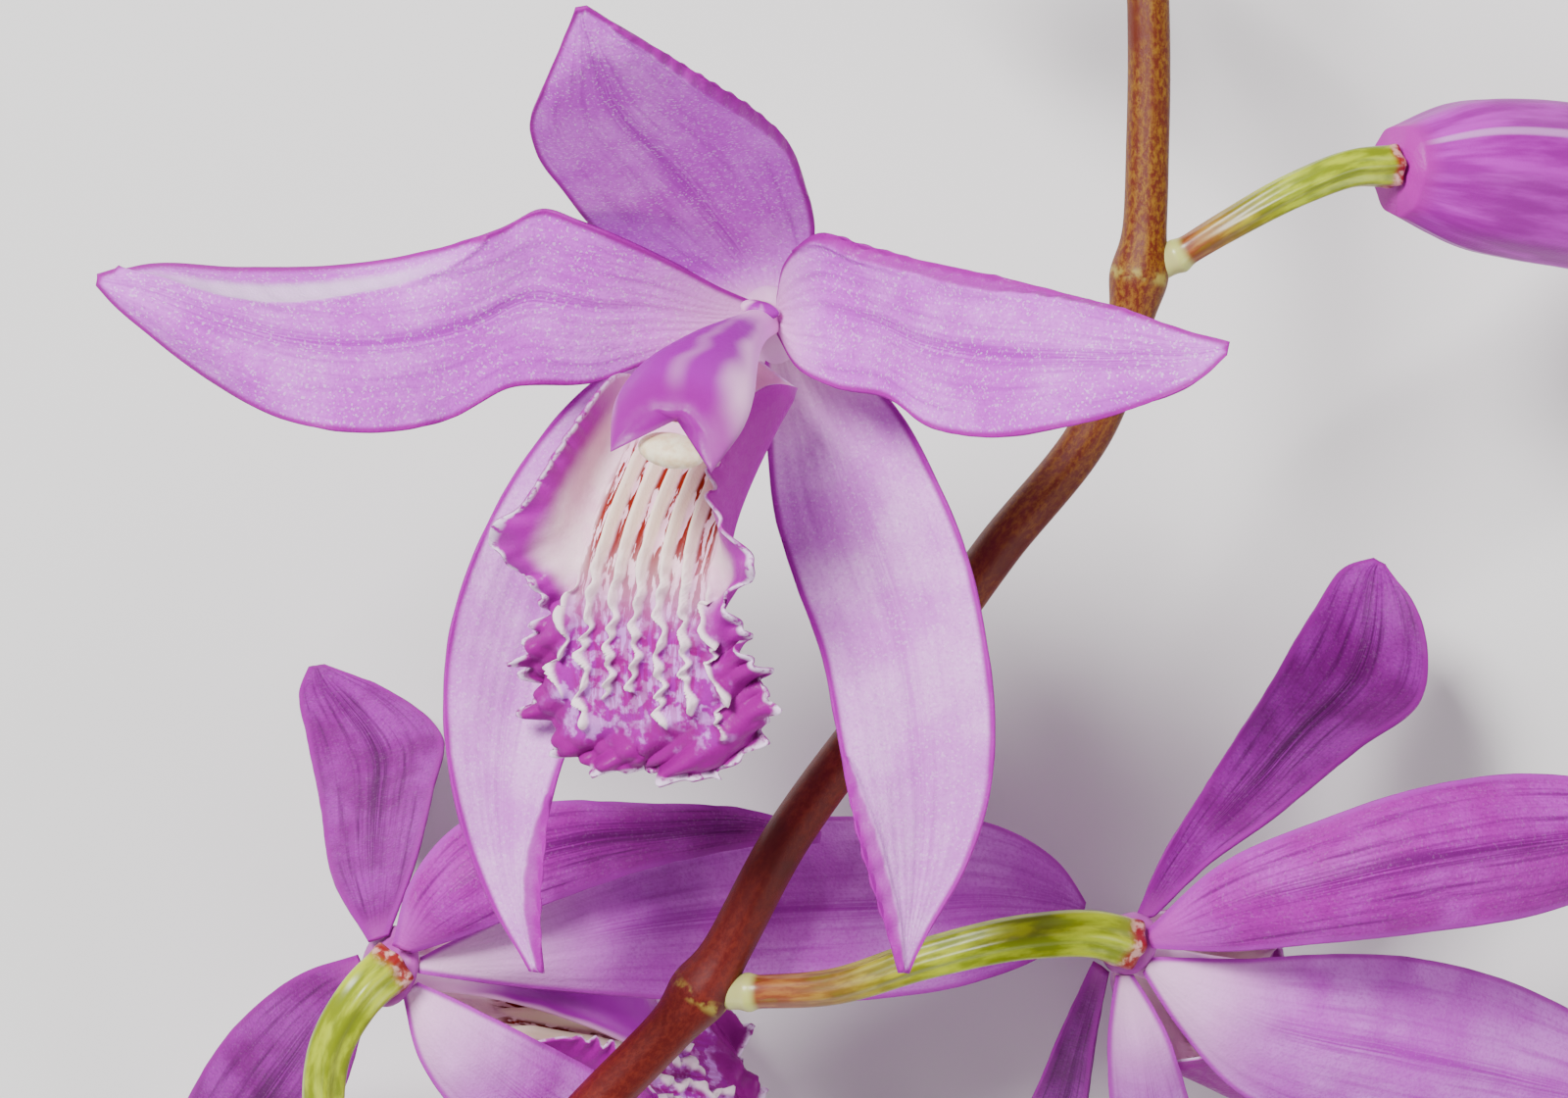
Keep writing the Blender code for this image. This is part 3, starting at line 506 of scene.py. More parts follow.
def lip_material():
    """White-pink trough, cream keels with red-brown dashes between them, and a magenta crisped edge."""
    n = Nodes("lip")
    run, side, inner, edge, keel, reach = n.marks("run", "side", "inner", "rim", "keel", "reach")
    away = n.math("ABSOLUTE", reach)
    ground = n.mix(n.scaled(n.noise(1.6), 0.3, 0.7), (0.78, 0.44, 0.62), (0.88, 0.64, 0.72))
    blotches = n.scaled(n.noise(0.7, detail=4.0), 0.43, 0.55)
    lobe_colour = n.mix(blotches, (0.62, 0.22, 0.74), (0.34, 0.0, 0.34))
    colour = n.mix(n.scaled(run, 0.54, 0.70), ground, lobe_colour)
    walls = n.times(n.scaled(n.math("ABSOLUTE", side), 0.66, 0.88), n.scaled(run, 0.03, 0.30))
    colour = n.mix(walls, colour, (0.36, 0.0, 0.34))
    wavering = n.math("ADD", edge, n.scaled(n.noise(1.3), 0.3, 0.7, -0.7, 0.7))
    tip = n.times(n.scaled(wavering, 2.6, 1.5), n.scaled(run, 0.58, 0.74))
    colour = n.mix(tip, colour, (0.27, 0.0, 0.22))
    dash_place = n.vector(n.times(run, 0.0046), n.times(reach, 0.0013), 0.0)
    dashes = n.scaled(n.noise(0.30, dash_place, detail=3.0), 0.46, 0.51)
    between = n.scaled(keel, 0.40, 0.16)
    reaching = n.times(n.scaled(run, 0.22, 0.28), n.scaled(run, 0.94, 0.80))
    fading = n.scaled(run, 0.66, 0.46, 0.55, 1.0)
    dashes = n.times(dashes, between, reaching, fading, n.scaled(away, 3.3, 2.8), inner)
    dash_colour = n.mix(n.scaled(run, 0.50, 0.68), (0.20, 0.010, 0.003), (0.26, 0.0, 0.12))
    colour = n.mix(dashes, colour, dash_colour)
    crest = n.times(n.scaled(keel, 0.18, 0.5), inner)
    cream = n.mix(n.scaled(run, 0.45, 0.65), (0.95, 0.80, 0.66), (0.93, 0.74, 0.82))
    colour = n.mix(crest, colour, cream)
    teeth = n.times(n.scaled(edge, 0.30, 0.05), n.scaled(n.noise(0.4), 0.35, 0.55))
    colour = n.mix(teeth, colour, (0.84, 0.62, 0.88))
    outside = n.mix(n.scaled(n.noise(1.2), 0.35, 0.65), (0.54, 0.06, 0.58), (0.62, 0.14, 0.68))
    outside = n.mix(n.scaled(edge, 5.2, 2.8), outside, (0.34, 0.0, 0.30))
    outside = n.mix(n.scaled(run, 0.14, 0.02), outside, (0.70, 0.30, 0.72))
    colour = n.mix(inner, outside, colour)
    bump = n.bump(n.cells(0.13), 0.35, 0.03)
    bump = n.bump(n.noise(0.5, detail=4.0), 0.35, 0.08, bump)
    rough = n.scaled(n.noise(0.3), 0.3, 0.7, 0.34, 0.5)
    return n.finish(colour, rough, bump, scatter=0.06, scatter_mm=0.4, shine=0.15)


def column_material():
    """Purple on its left shoulder, pinkish cream on its right, with a magenta hood."""
    n = Nodes("column")
    run, turn = n.marks("run", "turn")
    waver = n.math("ADD", turn, n.scaled(n.noise(3.5, detail=1.0), 0.3, 0.7, -0.02, 0.02))
    shoulder = n.times(n.scaled(waver, 0.0, 0.05), n.scaled(waver, 0.40, 0.32))
    lighter = n.scaled(n.math("ABSOLUTE", n.math("SUBTRACT", waver, 0.23)), 0.0, 0.04, 0.72, 1.0)
    purple = n.times(shoulder, lighter, n.scaled(run, 0.10, 0.34))
    colour = n.mix(purple, (0.82, 0.44, 0.72), (0.33, 0.0, 0.36))
    colour = n.mix(n.times(n.scaled(run, 0.76, 0.94), 0.9), colour, (0.28, 0.0, 0.27))
    under = n.scaled(n.math("SINE", n.times(turn, math.tau)), -0.1, -0.5)
    colour = n.mix(under, colour, (0.84, 0.66, 0.62))
    bump = n.bump(n.noise(0.4, detail=4.0), 0.3, 0.05)
    return n.finish(colour, n.scaled(n.noise(0.3), 0.3, 0.7, 0.34, 0.46), bump, scatter=0.06, shine=0.2)


def anther_material():
    n = Nodes("anther_cap")
    colour = n.mix(n.scaled(n.noise(0.5), 0.35, 0.7), (0.92, 0.82, 0.60), (0.76, 0.56, 0.34))
    return n.finish(colour, 0.45, n.bump(n.noise(0.4, detail=4.0), 0.3, 0.06), scatter=0.2)


def heart_material(name, dark, light):
    """Tissue where the tepals of a bloom meet."""
    n = Nodes(name)
    colour = n.mix(n.noise(0.8), dark, light)
    return n.finish(colour, 0.5, n.bump(n.noise(0.5), 0.3, 0.05), scatter=0.12)


def stem_material():
    """Maroon skin with fine lengthwise olive mottling, stronger towards the tip."""
    n = Nodes("stem")
    run, length, turn, node = n.marks("run", "along_mm", "turn", "node")
    place = n.vector(n.times(length, 0.0005), n.times(turn, 0.0055), 0.0)
    streak = n.noise(0.20, place, detail=6.0, rough=0.75)
    upper = n.scaled(run, 0.60, 0.90)
    base = n.mix(upper, (0.115, 0.006, 0.005), (0.11, 0.012, 0.003))
    mottle = n.mix(upper, (0.17, 0.016, 0.008), (0.23, 0.10, 0.005))
    colour = n.mix(n.scaled(streak, 0.42, 0.62), base, mottle)
    colour = n.mix(n.scaled(n.noise(4.0), 0.50, 0.70), colour, n.mix(upper, (0.08, 0.004, 0.004), base))
    scar = n.times(n.scaled(node, 0.45, 0.05), n.scaled(n.noise(0.8), 0.45, 0.62))
    colour = n.mix(scar, colour, (0.32, 0.24, 0.04))
    bump = n.bump(streak, 0.5, 0.06)
    return n.finish(colour, n.scaled(streak, 0.3, 0.7, 0.42, 0.55), bump, scatter=0.03, shine=0.25)


def stalk_material():
    """Yellow-green, pinkish brown towards the stem and below, with a pale collar and a red end whose
    glints are painted as pale spots.
    """
    n = Nodes("stalk")
    run, length, turn = n.marks("run", "along_mm", "turn")
    place = n.vector(n.times(length, 0.0002), n.times(turn, 0.004), 0.0)
    streak = n.noise(0.4, place, detail=4.0)
    green = n.mix(n.scaled(streak, 0.4, 0.65), (0.20, 0.25, 0.002), (0.42, 0.50, 0.012))
    brown = n.mix(n.scaled(streak, 0.4, 0.65), (0.20, 0.03, 0.015), (0.34, 0.13, 0.03))
    under = n.scaled(n.math("SINE", n.times(turn, math.tau)), 0.3, -0.6)
    brownness = n.math("MAXIMUM", n.scaled(run, 0.60, 0.10), n.times(under, 0.5))
    colour = n.mix(n.times(brownness, n.scaled(streak, 0.2, 0.5, 0.5, 1.0)), green, brown)
    colour = n.mix(n.scaled(length, 1.7, 1.2), colour, (0.50, 0.52, 0.14))
    colour = n.mix(n.scaled(length, 1.15, 0.9), colour, (0.50, 0.50, 0.17))
    # The red end is the stalk's own colour; its pale spots are painted glints of light off its small
    # lumps.
    red_end_and_glints = n.mix(n.scaled(n.noise(0.5), 0.45, 0.62), (0.26, 0.012, 0.008), (0.62, 0.30, 0.26))
    colour = n.mix(n.scaled(run, 0.94, 0.975), colour, red_end_and_glints)
    bump = n.bump(streak, 0.3, 0.03)
    return n.finish(colour, 0.34, bump, scatter=0.08, coat=0.12)


def bud_material():
    n = Nodes("bud")
    run, turn, length = n.marks("run", "turn", "along_mm")
    place = n.vector(n.times(length, 0.00008), n.times(turn, 0.011), 0.0)
    streak = n.noise(0.5, place, detail=4.0)
    colour = n.mix(n.scaled(streak, 0.40, 0.66), (0.30, 0.0, 0.30), (0.50, 0.014, 0.52))
    ridge = n.scaled(n.math("COSINE", n.times(turn, 6 * math.pi)), 0.975, 0.999)
    colour = n.mix(n.times(ridge, 0.6), colour, (0.74, 0.36, 0.78))
    colour = n.mix(n.scaled(run, 0.04, 0.0), colour, (0.40, 0.01, 0.34))
    bump = n.bump(n.cells(0.13), 0.35, 0.03)
    return n.finish(colour, 0.45, n.bump(streak, 0.4, 0.06, bump), scatter=0.06, shine=0.2)


# The blooms, in the shapes of the frame's solids


def run_and_rise(headings, steps):
    """Places on a line that starts at 0 and takes each step in its own heading."""
    return [np.append(0, np.cumsum(part(headings[1:]) * steps)) for part in (np.cos, np.sin)]


def bloom_frame(facing, dorsal):
    """Rows are right, dorsal and forward directions of a bloom."""
    forward = unit(facing)
    up = unit(np.asarray(dorsal, float) - np.dot(dorsal, forward) * forward)
    return np.array([np.cross(up, forward), up, forward])


def lip_grid(size, droop):
    """The lip in its own frame, with x across, y from base to apex and z towards the column, with
    the height of its keels and marks for its colours."""
    rows, middle_steps, wall_steps = size
    half_widths = [1.1, 3.6, 5.6, 6.6, 7.1, 7.3, 7.3, 6.8, 4.8, 5.1, 5.8, 6.0, 5.3, 3.4]
    walls = np.radians([70, 84, 92, 96, 96, 92, 84, 66, 30, 4, -12, -22, -28, -32])
    bends = droop * np.radians([0, 2, 2, 0, -2, -6, -14, -26, -38, -46, -52, -54, -56, -58])
    fractions = np.linspace(0, 1, rows)
    widths = along(half_widths, fractions)
    wall = along(walls, fractions)
    bend = along(bends, fractions)
    spine_y, spine_z = run_and_rise(bend, LIP_LENGTH / (rows - 1))
    keel_band = KEEL_SPACING * (KEEL_COUNT + 3) / 2
    columns = 2 * (middle_steps + wall_steps) + 1
    draw = np.random.default_rng(5)
    keel_waves = draw.uniform([1.4, 0.7, 0, 0, 0], [2.8, 1.2, 6.3, 6.3, 6.3], (KEEL_COUNT + 2, 5))
    keel_ends = draw.uniform(0.80, 0.94, KEEL_COUNT + 2)
    grid = np.zeros((rows, columns, 3))
    relief = np.zeros((rows, columns))
    marks = {mark: np.zeros((rows, columns)) for mark in ("run", "side", "rim", "keel", "reach")}
    for i, fraction in enumerate(fractions):
        inner = min(keel_band, 0.74 * widths[i])
        middle = np.linspace(0, inner, middle_steps + 1)
        half = np.append(middle, np.linspace(inner, widths[i], wall_steps + 1)[1:])
        distance = np.concatenate([half[:0:-1], half])
        side = np.sign(np.arange(columns) - columns // 2)
        arc = np.linspace(0, widths[i] + 0.6, 60)
        heading = wall[i] * ramp(arc, LIP_FLAT, LIP_UPRIGHT)
        across, rise = run_and_rise(heading, np.diff(arc))
        leaning = np.interp(distance, arc, heading)
        lobe = np.clip((fraction - 0.45) / 0.2, 0, 1)
        apex = np.clip((fraction - 0.8) / 0.2, 0, 1)
        edge = np.maximum(np.clip(distance / widths[i], 0, 1) ** 3, apex * apex)
        place = fraction * LIP_LENGTH
        phase = math.tau * (place + 0.8 * side * distance) / CRISP_PITCH
        crisp = CRISP_WAVE * lobe * edge * np.sin(phase)
        crisp += 0.24 * lobe * edge**2 * np.sin(2.7 * phase + 1.3 * side)
        frill = ramp(fraction, 0.25, 0.4) * edge**4 * np.sin(math.tau * place / TEETH_PITCH + side)
        crisp += 0.20 * frill
        crisp += 0.22 * lobe * edge**2 * np.sin(math.tau * (place / 1.15 + 0.6 * distance) - side)
        crisp -= SIDE_LOBE_FLARE * edge**2 * peak(fraction - 0.54, 0.035)
        scallop = 0.20 * frill + 0.26 * lobe * edge**5 * np.sin(math.tau * place / 1.9 + 2.0 * side)
        distance = distance + scallop
        x = side * np.interp(distance, arc, across) - side * crisp * np.sin(leaning)
        z = np.interp(distance, arc, rise) + crisp * np.cos(leaning)
        y = spine_y[i] - z * math.sin(bend[i])
        grid[i] = np.stack([x, y, spine_z[i] + z * math.cos(bend[i])], axis=1)
        signed = side * distance
        curl = 0.26 * ramp(fraction, 0.45, 0.75)
        profile = np.zeros(columns)
        for k, (long_wave, short_wave, one, two, three) in enumerate(keel_waves):
            number = k - (KEEL_COUNT + 1) / 2
            short = abs(number) > KEEL_COUNT / 2
            centre = number * KEEL_SPACING * (0.90 + 0.28 * ramp(fraction, 0.4, 0.9))
            swing = 0.65 + 0.35 * math.sin(math.tau * place / 5.3 + three)
            sway = curl * swing * math.sin(math.tau * place / long_wave + one)
            sway += 0.5 * curl * (1.4 - swing) * math.sin(math.tau * place / short_wave + two)
            begins = 0.52 if short else 0.2
            tall = ramp(fraction, begins, begins + 0.12) * ramp(keel_ends[k] - fraction, 0.0, 0.03)
            notches = 0.5 + 0.5 * math.sin(math.tau * place / (0.5 * long_wave) + three)
            tall *= 1 - 0.45 * ramp(fraction, 0.5, 0.7) * notches
            tall *= 0.75 if short else 1.0
            thin = 0.24 - 0.10 * ramp(fraction, 0.45, 0.65)
            crest = peak(signed - centre - sway, thin)
            foot = 0.30 * peak(signed - centre - 0.4 * sway, 0.40)
            profile = np.maximum(profile, tall * np.maximum(crest, foot))
        relief[i] = KEEL_HEIGHT * profile
        marks["run"][i] = fraction
        marks["side"][i] = signed / widths[i]
        from_margin = np.maximum(widths[i] + scallop - distance, 0)
        marks["rim"][i] = np.minimum(from_margin, LIP_LENGTH - place)
        marks["keel"][i] = profile
        marks["reach"][i] = signed
    return grid, relief, marks


def lip(name, base, axes, material, size, tilt, droop, roll=0, sweep=0):
    """Tilt turns the lip away from the column and roll about its length, both in degrees. Droop
    bends its end down and sweep leans it sideways."""
    tilt, roll = math.radians(tilt), math.radians(roll)
    right, dorsal, forward = axes
    along_lip = math.cos(tilt) * forward - math.sin(tilt) * dorsal
    inward = math.sin(tilt) * forward + math.cos(tilt) * dorsal
    side = math.cos(roll) * right + math.sin(roll) * inward
    inward = math.cos(roll) * inward - math.sin(roll) * right
    along_lip = unit(along_lip - sweep * side)
    grid, relief, marks = lip_grid(size, droop)
    placed = base + grid @ np.array([side, along_lip, inward])
    placed, relief = placed[:, ::-1], relief[:, ::-1]
    marks = {mark: values[:, ::-1] for mark, values in marks.items()}
    thickness = RIM_THICKNESS + (PETAL_THICKNESS - RIM_THICKNESS) * ramp(marks["rim"], 0.0, 1.2)
    relief = relief + 0.05 * ramp(marks["rim"], 0.0, 1.0) * lumps(placed, 7, 1.6)
    sheet(name, placed, thickness, relief, marks, material)


def gynostemium(name, base, axes, material):
    """The column, which arches over the lip and ends in two wings with a notch between them."""
    _, dorsal, forward = axes
    rings, sides = COLUMN_GRID
    arch = [(0.0, 0.2), (0.9, 4.0), (1.5, 8.0), (1.5, 12.0), (0.7, 14.6), (0.1, 15.6)]
    path = smooth([base + up * dorsal + out * forward for up, out in arch], rings)
    half_widths = [0.85, 0.95, 1.2, 1.6, 2.1, 2.6, 2.8, 2.2]
    half_depths = [0.85, 0.85, 0.95, 1.1, 1.2, 1.2, 1.0, 0.5]

    def section(fractions, angles):
        width = along(half_widths, fractions[:, 0])[:, None]
        depth = along(half_depths, fractions[:, 0])[:, None]
        hollow = np.where(np.sin(angles) < 0, 0.45, 1.0)
        return width * np.cos(angles), depth * hollow * np.sin(angles)

    def slide(fractions, angles):
        wings = COLUMN_WINGS * np.abs(np.cos(angles)) ** 3
        uneven = 0.1 * np.cos(9 * angles) * (np.sin(angles) > 0)
        return (wings + uneven - COLUMN_NOTCH) * ramp(fractions, 0.72, 1.0)

    tube(name, path, section, sides, material, name, up=dorsal, slide=slide)


def knob(name, place, axes, radii, material, node):
    """A small rounded body. The radii are along the right, dorsal and forward axes."""
    rings, sides = KNOB_GRID
    heights = -np.cos(np.linspace(0.02, math.pi - 0.02, rings))[:, None]
    path = np.asarray(place) + radii[1] * heights * axes[1]

    def section(_, angles):
        round_off = np.sqrt(1 - heights**2)
        return radii[0] * round_off * np.cos(angles), radii[2] * round_off * np.sin(angles)

    tube(name, path, section, sides, material, node, up=axes[2])


def stalk(name, points, start, end, material, rows=110):
    """A flower's stalk. It leaves the stem in a small collar and swells into the ribbed ovary. Start
    and end are its radii."""
    points = np.asarray(points, float)
    depth_in_stem = 0.9
    inside = points[0] + depth_in_stem * unit(points[0] - points[1])
    path = smooth(np.concatenate([[inside], points]), rows)
    length = np.linalg.norm(np.diff(path, axis=0), axis=1).sum()

    def section(fractions, angles):
        radius = start + (end - start) * fractions**1.5
        radius += COLLAR_HEIGHT * peak(fractions * length - 1.0, COLLAR_REACH)
        rim = peak(fractions - 0.985, 0.02)
        ribs = 1 + 0.09 * np.minimum(1.0, 2 * fractions) * np.cos(6 * angles) + 0.05 * rim
        turned = angles + 0.6 * fractions
        return radius * ribs * np.cos(turned), radius * ribs * np.sin(turned)

    tube(name, path, section, STALK_SIDES, material, name)


def bud(name, points, radii, material, rows=120):
    path = smooth(points, rows)

    def section(fractions, angles):
        radius = along(radii, fractions[:, 0])[:, None]
        ridges = 1 + 0.10 * np.maximum(0, np.cos(3 * angles)) ** 4 - 0.04 * np.cos(6 * angles)
        return radius * ridges * np.cos(angles), 0.94 * radius * ridges * np.sin(angles)

    tube(name, path, section, BUD_SIDES, material, name)


LEFT_NODE = (-15.4, -44.4, 13.0)
RIGHT_NODE = (-2.9, -30.5, 17.6)
FRONT_NODE = (6.5, -16.0, 19.8)
BUD_NODE = (17.1, 2.2, 20.5)
SMALL_BUD_NODE = (17.4, 17.5, 20.1)
STEM_ROUTE = (
    (-34.6, -83.0, SURFACE + 1.2),
    (-29.6, -72.6, 1.1),
    (-22.6, -58.6, 6.8),
    LEFT_NODE,
    (-8.2, -36.3, 15.8),
    RIGHT_NODE,
    (1.2, -23.2, 19.0),
    FRONT_NODE,
    (10.6, -10.3, 20.2),
    (15.2, -4.3, 20.4),
    BUD_NODE,
    (17.5, 8.6, 20.5),
    SMALL_BUD_NODE,
    (17.1, 21.2, 19.6),
)


def stem(material):
    rings, sides = STEM_GRID
    path = smooth(STEM_ROUTE, rings)
    nodes = np.array([LEFT_NODE, RIGHT_NODE, FRONT_NODE, BUD_NODE, SMALL_BUD_NODE])
    away = np.linalg.norm(path[:, None] - nodes[None], axis=2).min(axis=1)[:, None]

    def section(fractions, angles):
        radius = (STEM_THICK + (STEM_THIN - STEM_THICK) * fractions) / 2
        radius += NODE_SWELLING * peak(away, NODE_REACH)
        radius *= 1 - 0.25 * np.clip((fractions - 0.97) / 0.03, 0, 1)
        radius = radius * (1 + 0.012 * np.cos(7 * angles + 3 * fractions))
        return radius * np.cos(angles), radius * np.sin(angles)

    marks = {"node": np.append(np.repeat(away[:, 0], sides), away[[0, -1], 0])}
    tube("stem", path, section, sides, material, "stem", more_marks=marks)


def front_bloom(look):
    z = BLOOM_HEIGHT
    facing = unit((-0.30, -0.35, 0.888))
    axes = bloom_frame(facing, (0.12, 0.92, 0.38))

    def level(*values):
        return [z + np.asarray(station) for station in values]

    tepal(
        "front_left_petal",
        [(-0.5, 0.7), (-1.9, 1.3), (-3.6, 2.2), (-5.9, 3.3), (-8.2, 4.25), (-9.5, 4.7), (-11.6, 3.8),
         (-14.5, 2.95), (-18.5, 2.35), (-23.0, 2.25), (-27.2, 2.35), (-29.2, 1.8)],
        [(-0.6, -0.7), (-2.4, -1.3), (-5.0, -2.0), (-7.4, -2.9), (-11.1, -3.15), (-13.7, -4.5),
         (-17.5, -5.1), (-21.0, -4.5), (-24.2, -2.8), (-27.0, -0.7), (-28.5, 0.6), (-29.2, 1.4)],
        level(-0.25, (3.5, 1.3, 0.2), (3.5, 2.2, 2.8), (1.6, 3.9, 4.6), (2.2, 5.2, 4.4), (5.0, 5.2, 5.0)),
        look.petal, FRONT_GRID, ruffle=0.35, seed=11, groove=0.1,
        # This fold's light strip is a painted silvery highlight.
        folds=[(-1, 0.42, 0.97, 2.1, 1.0)],
    )
    tepal(
        "front_right_petal",
        [(0.7, 0.9), (1.0, 2.3), (2.3, 3.6), (4.4, 3.1), (7.8, 2.3), (12.0, 1.4), (16.0, 0.3),
         (19.0, -0.75), (20.5, -1.1)],
        [(0.7, -0.8), (1.6, -2.3), (3.1, -3.1), (5.5, -3.6), (7.2, -4.8), (9.6, -5.3), (13.0, -4.9),
         (16.4, -4.0), (19.3, -2.7), (20.4, -1.7)],
        level(0.3, (4.6, 3.6, 4.8), (7.6, 8.2, 9.6), (10.8, 12.2, 12.9), (13.6, 14.3, 14.6), 14.8),
        look.petal, FRONT_GRID, ruffle=0.35, seed=12, groove=0.1,
        folds=[(-1, 0.10, 0.80, 0.8, -0.9)],
    )
    tepal(
        "front_dorsal_sepal",
        [(-0.5, 0.6), (-3.0, 1.6), (-5.6, 2.7), (-7.4, 3.9), (-8.7, 5.5), (-9.9, 7.2), (-10.2, 8.5),
         (-9.7, 9.9), (-8.8, 12.0), (-8.2, 13.5)],
        [(0.7, 0.4), (2.0, 2.0), (2.3, 3.8), (1.9, 5.7), (1.15, 7.6), (-0.2, 8.9), (-2.2, 10.2),
         (-4.4, 11.6), (-6.4, 12.8), (-7.7, 13.6)],
        level(-0.75, (-0.9, -0.1, 1.4), (1.5, 4.4, 6.8), (8.0, 10.8, 13.0), (14.6, 16.2, 16.8), 19.0),
        look.petal, FRONT_GRID, ruffle=0.2, seed=13, groove=0.08,
        folds=[(1, 0.30, 0.92, 0.5, -1.0)],
    )
    tepal(
        "front_left_sepal",
        [(-0.9, -0.1), (-4.6, -1.2), (-7.6, -3.0), (-10.2, -5.9), (-12.4, -9.8), (-13.8, -14.3),
         (-14.0, -17.1), (-13.4, -21.6), (-11.8, -26.0), (-10.2, -28.7)],
        [(-0.1, -0.7), (-2.6, -5.0), (-4.2, -8.2), (-5.6, -11.6), (-7.0, -15.0), (-8.2, -18.0),
         (-9.2, -21.0), (-9.7, -24.0), (-9.8, -26.8), (-9.6, -28.8)],
        level(-1.1, (-1.4, -1.9, -2.0), (-0.6, -1.4, -1.8), (0.2, -0.6, -0.4), (0.6, 0.2, 1.4),
              (0.4, 0.6, 0.8)),
        look.pale, FRONT_GRID, ruffle=0.15, seed=14, groove=0.06,
        folds=[(1, 0.74, 0.999, 0.55, -1.0)],
    )
    tepal(
        "front_right_sepal",
        [(0.1, -0.75), (0.2, -5.0), (0.6, -8.9), (1.5, -11.8), (2.6, -14.8), (3.2, -17.8), (3.8, -20.9),
         (4.6, -24.0), (5.4, -26.6), (6.0, -28.8)],
        [(1.0, -0.1), (3.8, -1.9), (6.0, -4.2), (7.5, -6.9), (8.9, -10.2), (9.8, -14.1), (10.2, -18.0),
         (10.0, -20.8), (9.0, -24.0), (7.2, -27.2), (6.4, -28.8)],
        level(-0.75, (-1.0, -1.4, -0.2), (0.6, 0.0, 1.2), (2.2, 1.4, 2.2), (3.8, 2.2, 2.4),
              (3.0, 2.8, 2.6)),
        look.pale, FRONT_GRID, ruffle=0.15, seed=15, groove=0.06,
        folds=[(-1, 0.66, 0.999, 0.6, -1.0)],
    )
    base = sighted((0.1, -0.2, z))
    leaning = bloom_frame((-0.26, -0.38, 0.888), (0.12, 0.92, 0.38))
    column_base = base + 0.45 * facing
    gynostemium("front_column", column_base, leaning, look.column)
    cap = column_base + 14.3 * leaning[2] - 0.3 * leaning[1]
    knob("front_anther", cap, leaning, (1.45, 0.7, 1.0), look.anther, "front_column")
    heart = base - 0.75 * facing - 0.7 * axes[1]
    knob("front_heart", heart, axes, (1.5, 2.1, 0.8), look.heart, "front_column")
    swelling = base + facing + 0.9 * axes[1]
    knob("front_bump", swelling, axes, (0.9, 0.4, 0.5), look.column, "front_column")
    lip("front_lip", base + 1.5 * facing - 1.5 * axes[1] - 0.5 * axes[0], axes, look.lip,
        FRONT_LIP_GRID, tilt=32, droop=1, roll=14, sweep=0.07)
    stalk(
        "front_stalk",
        [(5.85, -14.2, 20.9), (5.2, -10.0, 21.4), (4.0, -3.8, 21.6), (3.0, 0.6, 23.2), (1.8, 1.6, 27.2),
         (0.75, 0.7, 30.3)],
        0.75, 1.15, look.stalk,
    )


